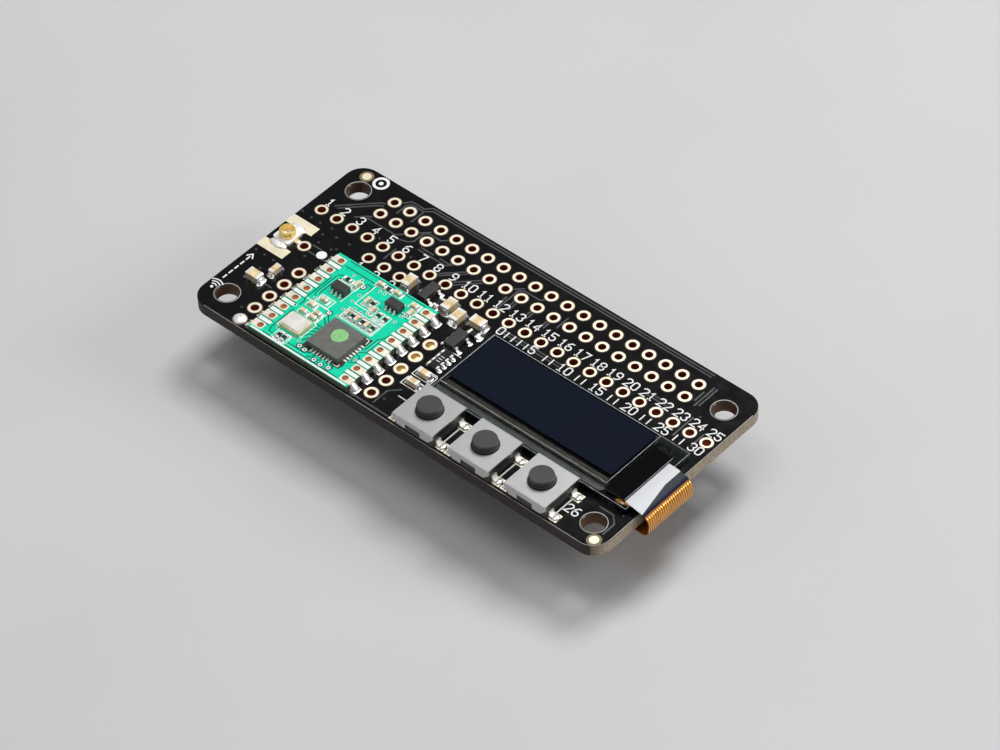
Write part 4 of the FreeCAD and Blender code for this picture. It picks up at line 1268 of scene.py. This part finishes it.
@dataclass
class BoardLegend:
    """White ink on the top face: pin numbers, scale, marks and outlines."""

    thick: float = 0.042
    numbers: NumberStyle = field(default_factory=NumberStyle)
    number_y: float = 7.78
    scale_y: float = 4.62
    scale_length: int = 31
    button_xs: tuple[float, float, float] = (4.15, 12.8, 21.45)
    button_y: float = -11.75

    @property
    def low(self) -> float:
        """Bottom of the ink, just inside the board."""
        return BOARD_TOP - 0.01

    @property
    def high(self) -> float:
        """Top of the ink."""
        return BOARD_TOP + self.thick

    def line(self, draft: Draft, path: Sequence[Point], width: float = 0.16) -> None:
        """Draw one line of ink."""
        draft.line(path, width, self.low, self.high)

    def build_numbers(self, board: BareBoard) -> None:
        """Number the breakout holes, the loose holes and the corner.

        Args:
            board: Board whose holes are numbered.
        """
        draft = Draft()
        for i in range(board.breakout_count):
            x = board.breakout[0] + PITCH * i
            self.numbers.draw(draft, i + 1, x, self.number_y, self.low, self.high)
        for i in range(3):
            self.numbers.draw(draft, i + 1, board.trio[0] + PITCH * i, 2.0, self.low, self.high)
        self.numbers.draw(draft, 26, 25.9, -11.6, self.low, self.high)
        draft.piece("pin_numbers", SILK, "solder_mask")

    def build_scale(self) -> None:
        """Millimetre scale behind the display."""
        draft = Draft()
        for i in range(self.scale_length):
            if i % 5 == 0:
                self.numbers.draw(draft, i, i + 0.5, self.scale_y, self.low, self.high)
            elif i % 5 not in (1, 4) or i < 5:
                self.line(draft, ((i + 0.5, self.scale_y - 0.6), (i + 0.5, self.scale_y + 0.35)))
        draft.piece("millimetre_scale", SILK, "solder_mask")

    def build_marks(self) -> None:
        """Radio sign with its dashes, ring, dot and the lines by the buttons."""
        draft = Draft()
        x, y = -31.2, -11.9
        draft.disc(x, y, 0.2, self.low, self.high)
        for radius in (0.55, 0.95, 1.35):
            self.line(draft, arc(x, y, radius, 52, 128, 8))
        for i in range(5):
            self.line(draft, ((x, -9.9 + i), (x, -9.35 + i)), 0.2)
        self.line(draft, ((x - 0.45, -5.35), (x, -4.75), (x + 0.45, -5.35)), 0.18)
        draft.ring(-27.7, 14.2, 0.72, 1.08, self.low, self.high, 36)
        draft.disc(-27.7, 14.2, 0.3, self.low, self.high)
        draft.disc(-24.7, 0.4, 0.66, self.low, self.high, 28)
        for centre in self.button_xs:
            for side in (-1, 1):
                self.line(draft, ((centre + side * 3.3, self.button_y - 1.2),
                                  (centre + side * 3.3, self.button_y + 1.2)), 0.2)
        self.line(draft, ((-1.6, -11.0), (-0.5, -11.0)), 0.12)
        draft.piece("board_marks", SILK, "solder_mask")

    def build(self, board: BareBoard) -> None:
        """Print the whole legend.

        Args:
            board: Board that it is printed on.
        """
        self.build_numbers(board)
        self.build_scale()
        self.build_marks()


@dataclass
class HeaderSocket:
    """Socket strip under the board."""

    def build(self) -> None:
        """Give moulding and contacts their finishes."""
        dress("header_socket_body", SOCKET_MOULDING)
        dress("header_socket_contacts", CONTACT_GOLD)


# ---------------------------------------------------------------- parts on the board
@dataclass(frozen=True)
class ChipSize:
    """Length, width and height of a chip part."""

    length: float
    width: float
    height: float


CHIP_0805 = ChipSize(2.0, 1.25, 1.0)
CHIP_0603 = ChipSize(1.6, 0.8, 0.8)
CHIP_0603_FLAT = ChipSize(1.6, 0.8, 0.45)
CHIP_0402 = ChipSize(1.0, 0.5, 0.5)


@dataclass(frozen=True)
class ChipPlace:
    """Where a chip part lies and how many quarter turns it has."""

    x: float
    y: float
    size: ChipSize
    turns: int

    def solder(self, draft: Draft, z: float, reach: float) -> None:
        """Add the fillets at both ends.

        Args:
            draft: Draft that they are added to.
            z: Height of the surface that the part stands on.
            reach: How far the solder runs out.
        """
        for half_turn in (0, 2):
            angle = 90.0 * (self.turns + half_turn)
            out = self.size.length / 2 - 0.02
            x = self.x + out * math.cos(math.radians(angle))
            y = self.y + out * math.sin(math.radians(angle))
            draft.fillet(x, y, z, reach, self.size.width + 0.12, self.size.height * 0.75, angle)

    def frame_ink(self, draft: Draft, z: float, margin: Point, width: float) -> None:
        """Draw an ink outline round the part.

        Args:
            draft: Draft that it is added to.
            z: Height of the surface.
            margin: Gap past the part's ends and past its sides.
            width: Width of the line.
        """
        half = (self.size.length / 2 + margin[0], self.size.width / 2 + margin[1])
        if self.turns % 2:
            half = half[1], half[0]
        points = rectangle(self.x - half[0], self.x + half[0], self.y - half[1],
                           self.y + half[1])
        draft.line(points + points[:1], width, z - 0.01, z + 0.015)


@dataclass
class BoardParts:
    """Capacitors, resistors, transistor and regulator around the module and display."""

    chips: tuple[ChipPlace, ...] = (
        ChipPlace(-13.1, 3.45, CHIP_0805, 1),
        ChipPlace(-6.7, 3.5, CHIP_0805, 1),
        ChipPlace(-4.7, 2.75, CHIP_0805, 1),
        ChipPlace(-2.15, 3.55, CHIP_0805, 0),
        ChipPlace(-28.15, -7.6, CHIP_0805, 0),
        ChipPlace(-27.0, -5.25, CHIP_0603, 1),
        ChipPlace(-1.45, -6.65, CHIP_0603, 0),
        ChipPlace(-1.5, -8.55, CHIP_0603, 0),
        ChipPlace(-8.1, 3.25, CHIP_0603_FLAT, 1),
        ChipPlace(-1.45, 2.0, CHIP_0603_FLAT, 0),
    )
    solder_reach: float = 0.42
    array: Point = (-1.55, -3.75)
    array_pitch: float = 0.8
    lead_feet: tuple[tuple[float, float, float], ...] = (
        (-8.95, 2.65, 0), (-8.95, 4.55, 0), (-11.25, 3.6, 180),
        (-0.9, -1.25, 0), (-0.9, 0.65, 0), (-3.4, -1.25, 180), (-3.4, -0.3, 180),
        (-3.4, 0.65, 180),
    )

    def dress(self) -> None:
        """Give the parts' CAD nodes their finishes."""
        dress("capacitor_bodies", CERAMIC)
        dress("resistor_bodies", OVERGLAZE)
        dress("resistor_array_body", OVERGLAZE)
        dress("transistor_body", SMALL_MOULDING)
        dress("regulator_body", SMALL_MOULDING)
        for node in ("capacitor_ends", "resistor_ends", "resistor_array_ends",
                     "transistor_leads", "regulator_leads"):
            dress(node, TIN)

    def build_solder(self) -> None:
        """Fillets at every end and lead."""
        draft = Draft()
        for chip in self.chips:
            chip.solder(draft, BOARD_TOP, self.solder_reach)
        x, y = self.array
        for side, angle in ((-1, 180.0), (1, 0.0)):
            for i in range(4):
                row = y + (i - 1.5) * self.array_pitch
                draft.fillet(x + side * 0.78, row, BOARD_TOP, 0.4, 0.52, 0.36, angle)
        for foot_x, foot_y, angle in self.lead_feet:
            draft.fillet(foot_x, foot_y, BOARD_TOP, 0.3, 0.6, 0.16, angle)
        piece = draft.piece("part_solder_fillets", SOLDER, "solder")
        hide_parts("component_solder")

    def build_ink(self) -> None:
        """Ink outlines round the parts and a plain mark on the resistor array."""
        draft = Draft()
        for chip in self.chips:
            if chip.x > -2.0 and chip.y < 0.0:
                chip.frame_ink(draft, BOARD_TOP, (0.62, 0.26), 0.12)
        x, y = self.array
        for side in (-1, 1):
            draft.line(((x - 1.35, y + side * 2.05), (x + 1.35, y + side * 2.05)), 0.12,
                       BOARD_TOP - 0.01, BOARD_TOP + 0.02)
        top = BOARD_TOP + 0.5
        for i in (-1, 0, 1):
            draft.line(((x - 0.25, y + i * 0.42), (x + 0.25, y + i * 0.42)), 0.09, top - 0.005,
                       top + 0.012)
        draft.piece("part_outlines", SILK, "solder_mask")

    def build(self) -> None:
        """Dress and solder the parts."""
        self.dress()
        self.build_solder()
        self.build_ink()


@dataclass
class AntennaConnector:
    """Miniature coaxial connector and the solder on its ground feet."""

    centre: Point = (-30.1, 0.2)
    foot_offset: float = 1.7

    def build(self) -> None:
        """Dress the connector and solder it down."""
        dress("antenna_connector_base", WHITE_MOULDING)
        dress("antenna_connector_shell", SHELL_GOLD)
        dress("antenna_connector_pin", SHELL_GOLD)
        draft = Draft()
        x, y = self.centre
        for side in (-1, 1):
            draft.blob(x, y + side * self.foot_offset, COPPER_TOP, (2.7, 1.3, 0.28))
            draft.blob(x - side * 0.5, y + side * (self.foot_offset - 0.1), COPPER_TOP,
                       (0.9, 0.8, 0.34))
        draft.blob(x + 1.75, y, COPPER_TOP - 0.04, (0.8, 0.8, 0.24))
        draft.piece("antenna_solder", FOOT_SOLDER, "solder")


# ---------------------------------------------------------------- radio module
@dataclass
class RadioModule:
    """Castellated module: mask, tracks, ink, joints and its parts."""

    centre: Point = (-14.6, -6.5)
    size: float = 16.0
    pads: int = 8
    pitch: float = 2.0
    chip: Point = (-12.4, -9.95)
    chip_size: float = 5.0
    dot: Point = (-12.37, -9.4)
    dot_radius: float = 1.07
    chip_top: float = 3.4
    joint_reach: float = 1.0
    gap_width: float = 0.15
    hole_inset: float = 1.12
    hole_radius: float = 0.41
    pin_ring_offset: float = 0.26
    pin_ring_width: float = 0.54

    parts: tuple[ChipPlace, ...] = tuple(
        ChipPlace(x, y, CHIP_0402, turns) for x, y, turns in (
            (-17.1, -1.35, 1), (-18.35, -5.7, 0), (-19.0, -7.2, 0), (-17.4, -7.9, 0),
            (-17.4, -8.75, 0), (-14.75, -5.6, 1), (-13.15, -5.6, 1), (-14.3, -2.55, 1),
            (-12.75, -3.35, 1), (-9.35, 0.35, 0), (-11.55, -5.6, 1), (-19.0, -8.65, 0),
            (-14.9, 0.55, 0), (-12.4, 0.7, 0), (-9.0, -0.8, 1), (-18.55, -1.35, 0),
            (-13.95, -5.6, 1), (-12.35, -5.6, 1), (-13.5, -2.55, 1), (-10.55, -3.6, 1),
            (-18.5, -13.35, 1), (-17.75, -13.35, 1), (-11.6, -3.6, 1), (-13.65, 0.55, 0),
            (-10.7, -5.6, 1)))
    vias: tuple[Point, ...] = (
        (-18.6, -0.35), (-17.3, -0.3), (-14.35, -0.3), (-13.65, -0.3), (-15.8, -2.35),
        (-15.8, -3.65), (-14.7, -4.4), (-13.7, -4.35), (-15.7, -5.3), (-15.45, -6.6),
        (-19.6, -6.05), (-20.6, -8.4), (-19.5, -12.45), (-17.05, -12.5), (-16.1, -12.5),
        (-9.6, -1.8), (-9.5, -3.0), (-8.9, -10.6),
    )
    large_vias: tuple[Point, ...] = ((-16.4, -1.05), (-16.55, -6.85), (-14.6, -13.15),
                                     (-12.6, -13.65), (-11.5, -13.75), (-10.4, -13.55),
                                     (-15.5, -13.05))
    gaps: tuple[tuple[Point, ...], ...] = (
        ((-20.55, 1.22), (-8.5, 1.22)),
        ((-20.5, 0.25), (-15.4, 0.25)),
        ((-19.6, -1.1), (-20.0, -1.4), (-20.15, -1.9), (-20.15, -5.3), (-19.9, -5.7)),
        ((-19.2, -1.5), (-19.6, -1.8), (-19.75, -2.2), (-19.75, -5.2)),
        ((-20.5, -2.3), (-20.5, -6.9), (-20.25, -7.2), (-20.25, -8.0)),
        ((-20.3, -9.0), (-20.3, -12.9), (-20.0, -13.55), (-14.4, -13.55), (-13.6, -12.8)),
        ((-20.5, -14.05), (-8.6, -14.05)),
        ((-8.5, -5.2), (-8.6, -5.8), (-9.05, -6.4), (-9.05, -8.6), (-9.5, -9.0)),
        ((-8.5, -6.3), (-8.65, -6.9), (-8.65, -8.8), (-9.4, -9.45)),
        ((-9.4, -9.75), (-8.8, -9.9), (-8.45, -10.5), (-8.8, -11.2), (-9.4, -11.3)),
        ((-9.4, -10.35), (-9.1, -10.6), (-9.1, -11.0)),
        ((-9.3, -12.0), (-9.35, -12.5), (-9.8, -12.9), (-10.6, -12.95)),
        ((-16.35, -7.2), (-15.3, -8.2)),
        ((-16.5, -7.75), (-15.3, -8.75)),
        ((-16.35, -9.15), (-15.3, -9.15)),
        ((-16.4, -9.95), (-15.9, -9.6), (-15.3, -9.55)),
        ((-16.4, -10.6), (-15.8, -10.2), (-15.3, -10.1)),
        ((-16.3, -11.6), (-16.0, -10.9), (-15.3, -10.6)),
        ((-15.9, -12.1), (-15.6, -11.5), (-15.3, -11.2)),
        ((-14.1, -12.6), (-13.8, -13.2)),
        ((-13.3, -12.6), (-13.1, -13.2)),
        ((-12.9, -12.6), (-13.15, -13.5), (-13.7, -13.8)),
        ((-12.0, -12.6), (-12.05, -13.3)),
        ((-11.6, -12.6), (-11.2, -13.1), (-10.9, -13.2)),
        ((-10.9, -12.6), (-10.2, -12.95), (-9.9, -13.3)),
        ((-16.3, -0.4), (-15.6, -0.4), (-15.4, -1.2)),
        ((-12.6, -2.2), (-12.2, -2.9), (-11.6, -2.9)),
        ((-13.2, -3.1), (-12.4, -3.2)),
        ((-10.0, -1.4), (-9.2, -1.4), (-8.7, -1.9)),
        ((-15.2, -4.75), (-10.0, -4.75)),
    )
    light_tracks: tuple[tuple[Point, ...], ...] = (
        ((-19.95, -1.6), (-19.95, -5.4)),
        ((-8.85, -6.5), (-8.85, -8.7), (-9.45, -9.2)),
        ((-20.4, -13.8), (-13.9, -13.8)),
        ((-20.5, 1.38), (-8.5, 1.38)),
        ((-12.45, -12.6), (-12.6, -13.4)),
        ((-11.9, -12.6), (-11.6, -13.4)),
        ((-11.2, -12.6), (-10.6, -13.3)),
    )
    ink_lines: tuple[tuple[Point, ...], ...] = (
        ((-20.1, -9.6), (-20.1, -12.1), (-18.9, -12.1)),
        ((-16.6, -9.3), (-16.3, -9.3), (-16.3, -12.0), (-17.0, -12.0)),
        ((-15.2, -7.15), (-9.7, -7.15)),
        ((-9.7, -7.15), (-9.6, -7.9)),
        ((-9.7, -12.4), (-9.7, -12.75), (-10.4, -12.75)),
        ((-19.3, -5.0), (-17.2, -5.0), (-17.2, -6.5), (-19.3, -6.5), (-19.3, -5.0)),
        ((-19.6, -1.95), (-16.8, -1.95), (-16.8, -4.6)),
        ((-15.3, -6.55), (-10.1, -6.55), (-10.1, -4.6), (-15.3, -4.6), (-15.3, -6.55)),
        ((-15.3, 1.0), (-15.3, -3.7), (-12.9, -3.7)),
        ((-9.9, 0.9), (-8.6, 0.9), (-8.6, -1.25), (-9.9, -1.25)),
        ((-19.2, -12.7), (-17.1, -12.7), (-17.1, -14.0), (-19.2, -14.0), (-19.2, -12.7)),
        ((-20.4, -6.6), (-16.6, -6.6), (-16.6, -9.1)),
    )

    def pad_ys(self) -> list[float]:
        """Y of each edge pad."""
        middle = (self.pads - 1) / 2
        return [self.centre[1] + (middle - i) * self.pitch for i in range(self.pads)]

    def dress(self) -> None:
        """Give the module's CAD nodes their finishes."""
        dress("radio_module_board", MODULE_MASK)
        dress("radio_module_pads", MODULE_PLATING)
        dress("radio_chip_body", CHIP_MOULDING)
        dress("crystal_base", CREAM_CERAMIC)
        dress("crystal_lid", LID)
        dress("antenna_switch_bodies", SMALL_MOULDING)
        dress("module_capacitor_bodies", CERAMIC)
        dress("module_coil_bodies", OVERGLAZE)
        for node in ("radio_chip_pins", "antenna_switch_leads", "module_chip_ends"):
            dress(node, TIN)

    def build_tracks(self) -> None:
        """Dark gaps between copper areas and lighter tracks inside them."""
        draft = Draft()
        low = MODULE_TOP - 0.01
        for path in self.gaps:
            draft.line(path, self.gap_width, low, MODULE_TOP + 0.008)
        for x, y in self.large_vias:
            draft.ring(x, y, 0.3, 0.46, low, MODULE_TOP + 0.008, 20)
        edge = self.size / 2
        for side in (-1, 1):
            x0 = self.centre[0] + side * (edge - 0.05)
            x1 = self.centre[0] + side * (edge - 1.95)
            for y in self.pad_ys()[1:]:
                for offset in (0.64, 1.36):
                    draft.line(((x0, y + offset), (x1, y + offset)), 0.11, low,
                               MODULE_TOP + 0.008)
        draft.piece("module_gaps", MODULE_GAP, "module_mask")
        light = Draft()
        for path in self.light_tracks:
            light.line(path, 0.14, low, MODULE_TOP + 0.02, flare=0.03)
        light.piece("module_tracks", MODULE_TRACK, "module_mask")

    def build_ink(self) -> None:
        """White blocks between the edge pads, part outlines and via rings."""
        draft = Draft()
        low, high = MODULE_TOP - 0.01, MODULE_TOP + 0.018
        edge = self.size / 2
        for side in (-1, 1):
            x = self.centre[0] + side * (edge - 0.98)
            for y in self.pad_ys()[1:]:
                draft.block(x, y + 1.0, (1.85, 0.5), low, high)
        for part in self.parts:
            part.frame_ink(draft, MODULE_TOP, (0.26, 0.16), 0.1)
        for path in self.ink_lines:
            draft.line(path, 0.12, low, high)
        for x, y in self.vias:
            draft.ring(x, y, 0.13, 0.2, low, high, 18)
        for x, y in self.large_vias:
            draft.ring(x, y, 0.13, 0.29, low, high, 20)
        draft.block(self.centre[0], self.centre[1] - edge + 0.18, (self.size - 0.6, 0.24), low,
                    high)
        draft.piece("module_ink", SILK, "module_mask")
        # Near-black discs in the via centres: painted shade that stands for the open via holes.
        holes = Draft()
        for x, y in self.vias:
            holes.disc(x, y, 0.13, low, MODULE_TOP + 0.004, 12)
        for x, y in self.large_vias:
            holes.disc(x, y, 0.13, low, MODULE_TOP + 0.004, 12)
        holes.piece("module_via_holes", SMALL_MOULDING, "module_mask")
        # Copper-brown discs just under the top of each edge hole: painted light standing for the lit
        # copper inside the holes.
        fill = Draft()
        for side in (-1, 1):
            for y in self.pad_ys():
                fill.blob(self.centre[0] + side * (edge - self.hole_inset), y, MODULE_TOP - 0.18,
                          (2 * self.hole_radius, 2 * self.hole_radius, 0.06))
        fill.piece("module_lit_hole_interior", LIT_HOLE_INTERIOR, "gold_plating")

    def build_solder(self) -> None:
        """Edge joints down to the board, and fillets at the small parts."""
        draft = Draft()
        for side, angle in ((-1, 180.0), (1, 0.0)):
            x = self.centre[0] + side * (self.size / 2 + 0.03)
            for y in self.pad_ys():
                draft.fillet(x, y, COPPER_TOP, self.joint_reach, 1.05, 0.9, angle, 10)
        piece = draft.piece("module_edge_joints", SOLDER, "solder")
        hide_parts("radio_module_solder")
        small = Draft()
        for part in self.parts:
            part.solder(small, MODULE_TOP, 0.2)
        small.piece("module_part_fillets", SOLDER, "solder")

    def build_pin_gaps(self) -> None:
        """Dark board between the pins of the radio chip."""
        draft = Draft()
        reach = self.chip_size / 2 + self.pin_ring_offset
        x, y = self.chip
        loop = rectangle(x - reach, x + reach, y - reach, y + reach)
        draft.line(loop + loop[:1], self.pin_ring_width, MODULE_TOP - 0.01, MODULE_TOP + 0.006)
        draft.piece("chip_pin_gaps", PIN_GAP, "module_mask")

    def build_dot(self) -> None:
        """Dab of green paint on the radio chip."""
        draft = Draft()
        outline = []
        for i in range(40):
            angle = math.tau * i / 40
            wobble = 1.0 + 0.022 * math.sin(3 * angle + 0.5) + 0.015 * math.sin(7 * angle)
            outline.append((self.dot[0] + self.dot_radius * wobble * math.cos(angle),
                            self.dot[1] + self.dot_radius * wobble * math.sin(angle)))
        draft.prism(outline, self.chip_top - 0.01, self.chip_top + 0.012, smooth=True)
        draft.piece("chip_paint_dot", PAINT_DOT, "chip_moulding")

    def build(self) -> None:
        """Dress the module and add its detail."""
        self.dress()
        self.build_tracks()
        self.build_ink()
        self.build_solder()
        self.build_pin_gaps()
        self.build_dot()


# ---------------------------------------------------------------- display
@dataclass
class Display:
    """Glass display: two plates, polarizer, resin over the driver and what shows inside."""

    glass_x: Point = (0.9, 31.0)
    glass_y: Point = (-8.33, 3.05)
    cap_x: Point = (1.4, 27.05)
    cap_y: Point = (-7.05, 2.6)
    glass_top: float = 2.55
    cap_top: float = 3.15
    conductor_count: int = 5
    # Inset and width of the painted highlight lines along the glass edges.
    cut_inset: float = 0.04
    cut_width: float = 0.045

    def dress(self) -> None:
        """Give the display's CAD nodes their finishes."""
        dress("display_foam_tape", FOAM)
        dress("display_base_glass", DISPLAY_GLASS)
        dress("display_cap_glass", DISPLAY_GLASS)
        dress("display_polarizer", POLARIZER)
        dress("display_driver_resin", RESIN)
        dress("display_driver_die", SILICON)

    def build_ledge(self) -> None:
        """Film on the front ledge of the base glass, with its fine conductors."""
        film = Draft()
        film.prism(rectangle(self.glass_x[0] + 0.25, 26.9, self.glass_y[0] + 0.2,
                             self.cap_y[0] - 0.05), self.glass_top, self.glass_top + 0.012)
        film.piece("ledge_film", LEDGE, "display_glass")
        lines = Draft()
        for i in range(self.conductor_count):
            y = self.glass_y[0] + 0.38 + 0.19 * i
            lines.line(((self.glass_x[0] + 0.6 + 0.15 * i, self.cap_y[0] - 0.1),
                        (self.glass_x[0] + 0.6 + 0.15 * i, y), (26.5, y), (27.3, y + 0.5)),
                       0.045, self.glass_top + 0.01, self.glass_top + 0.024)
        lines.piece("ledge_conductors", LINE_METAL, "display_glass")

    def build_seal(self) -> None:
        """Seal between the plates, which shows as a dull band round the picture area."""
        draft = Draft()
        x0, x1 = self.cap_x[0] + 0.25, self.cap_x[1] - 0.25
        y0, y1 = self.cap_y[0] + 0.3, self.cap_y[1] - 0.25
        z0, z1 = self.glass_top + 0.03, self.glass_top + 0.08
        for path, width in ((((x0, y0 + 0.25), (x1, y0 + 0.25)), 0.8),
                            (((x0, y1), (x1, y1)), 0.25),
                            (((x0, y0), (x0, y1)), 0.25),
                            (((x1, y0), (x1, y1)), 0.3)):
            draft.line(path, width, z0, z1, LineEnd.SQUARE)
        draft.piece("display_seal", SEAL, "display_glass")

    def build_edges(self) -> None:
        """Painted highlight lines along the cut edges of both plates."""
        draft = Draft()
        plates = ((self.glass_x, self.glass_y, self.glass_top),
                  (self.cap_x, self.cap_y, self.cap_top))
        for (x0, x1), (y0, y1), top in plates:
            loop = rectangle(x0 + self.cut_inset, x1 - self.cut_inset, y0 + self.cut_inset,
                             y1 - self.cut_inset)
            draft.line(loop + loop[:1], self.cut_width, top - 0.005, top + 0.01)
        draft.piece("glass_edge_highlights", GLASS_EDGE_HIGHLIGHT, "display_glass")

    def build_glue(self) -> None:
        """Beads of adhesive at the tail's corners."""
        draft = Draft()
        draft.blob(29.8, -7.85, self.glass_top, (1.5, 0.6, 0.2))
        draft.blob(30.5, -7.7, self.glass_top, (0.7, 0.5, 0.3))
        draft.piece("tail_glue", AMBER_GLUE, "polyimide")

    def build(self) -> None:
        """Dress the display and add what shows through its glass."""
        self.dress()
        self.build_ledge()
        self.build_seal()
        self.build_edges()
        self.build_glue()


@dataclass
class FlexTail:
    """Flexible tail with fine copper tracks along its outer face."""

    y_range: Point = (-7.6, 0.2)
    thick: float = 0.12
    track_count: int = 22
    track_width: float = 0.19
    corners: tuple[Point, ...] = ((30.25, 2.61), (31.3, 2.61), (33.85, 2.06), (33.6, -1.05),
                                  (30.6, -0.75), (28.9, -0.11), (26.0, -0.11))
    radii: tuple[float, ...] = (3.0, 1.35, 1.0, 3.0, 3.0)
    first_track_x: float = 33.3

    def path(self, offset: float) -> list[Point]:
        """Points along the tail, seen from the front, moved off its middle.

        Args:
            offset: Distance outside the middle of the film.

        Returns:
            Points as X and Z.
        """
        points: list[Point] = []
        trail = [Vector(corner) for corner in self.corners]
        for before, corner, after, radius in zip(trail, trail[1:], trail[2:], self.radii):
            into, out = (corner - before).normalized(), (after - corner).normalized()
            turn = into.angle_signed(out)
            setback = abs(radius * math.tan(turn / 2))
            first = corner - into * setback
            side = Vector((into.y, -into.x)) * (1 if turn > 0 else -1)
            centre = first + side * radius
            grown = radius + offset * (1 if turn > 0 else -1)
            start = math.atan2(first.y - centre.y, first.x - centre.x)
            for i in range(9):
                angle = start - turn * i / 8
                points.append((centre.x + grown * math.cos(angle),
                               centre.y + grown * math.sin(angle)))
        return points

    def build(self) -> None:
        """Dress the tail and lay its tracks round the bend."""
        dress("display_flex_tail", TAIL)
        dress("display_tail_solder", SOLDER)
        inner = self.path(self.thick / 2 - 0.01)
        outer = self.path(self.thick / 2 + 0.02)
        kept = [i for i, point in enumerate(outer)
                if point[0] > self.first_track_x or point[1] < 0.5]
        draft = Draft()
        width = self.y_range[1] - self.y_range[0]
        for i in range(self.track_count):
            y = self.y_range[0] + width * (i + 0.5) / self.track_count
            self.lay_track(draft, [inner[k] for k in kept], [outer[k] for k in kept], y)
        draft.piece("tail_tracks", TRACK_COPPER, "polyimide")

    def lay_track(self, draft: Draft, inner: Sequence[Point], outer: Sequence[Point],
                  y: float) -> None:
        """Add one track.

        Args:
            draft: Draft that it is added to.
            inner: Points of its underside.
            outer: Points of its top.
            y: Its middle.
        """
        rows = []
        for low, high in zip(inner, outer):
            start = len(draft.points)
            for x, z in (low, high):
                for side in (-1, 1):
                    draft.points.append((x, y + side * self.track_width / 2, z))
            rows.append((start, start + 1, start + 3, start + 2))
        for first, second in zip(rows, rows[1:]):
            draft.wall(first, second)
        draft.face(reversed(rows[0]))
        draft.face(rows[-1])


# ---------------------------------------------------------------- push buttons
@dataclass
class PushButton:
    """One push button and the solder on its four leads."""

    number: int
    x: float
    y: float = -11.75
    lead_offset: Point = (3.75, 1.98)

    def build(self) -> None:
        """Dress the button's CAD nodes and solder its leads."""
        name = f"button_{self.number}"
        dress(f"{name}_base", BUTTON_MOULDING)
        dress(f"{name}_cover", STEEL)
        dress(f"{name}_leads", TIN)
        dress(f"{name}_dome", STEEL)
        dress(f"{name}_plunger", PLUNGER)
        draft = Draft()
        for side_x in (-1, 1):
            for side_y in (-1, 1):
                x = self.x + side_x * self.lead_offset[0]
                y = self.y + side_y * self.lead_offset[1]
                draft.blob(x, y, COPPER_TOP, (1.05, 1.2, 0.27))
        draft.piece(f"{name}_lead_solder", SOLDER, "solder")


def main() -> None:
    """Build the studio, the camera and every part of the board, in order."""
    logging.basicConfig(level=logging.INFO, format="%(message)s")
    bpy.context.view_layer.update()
    Studio().build()
    ViewCamera().build()
    board = BareBoard()
    board.build()
    BoardLegend().build(board)
    HeaderSocket().build()
    BoardParts().build()
    AntennaConnector().build()
    RadioModule().build()
    Display().build()
    FlexTail().build()
    for number, x in enumerate(BUTTON_CENTRES, start=1):
        PushButton(number, x).build()


if __name__ == "__main__":
    main()
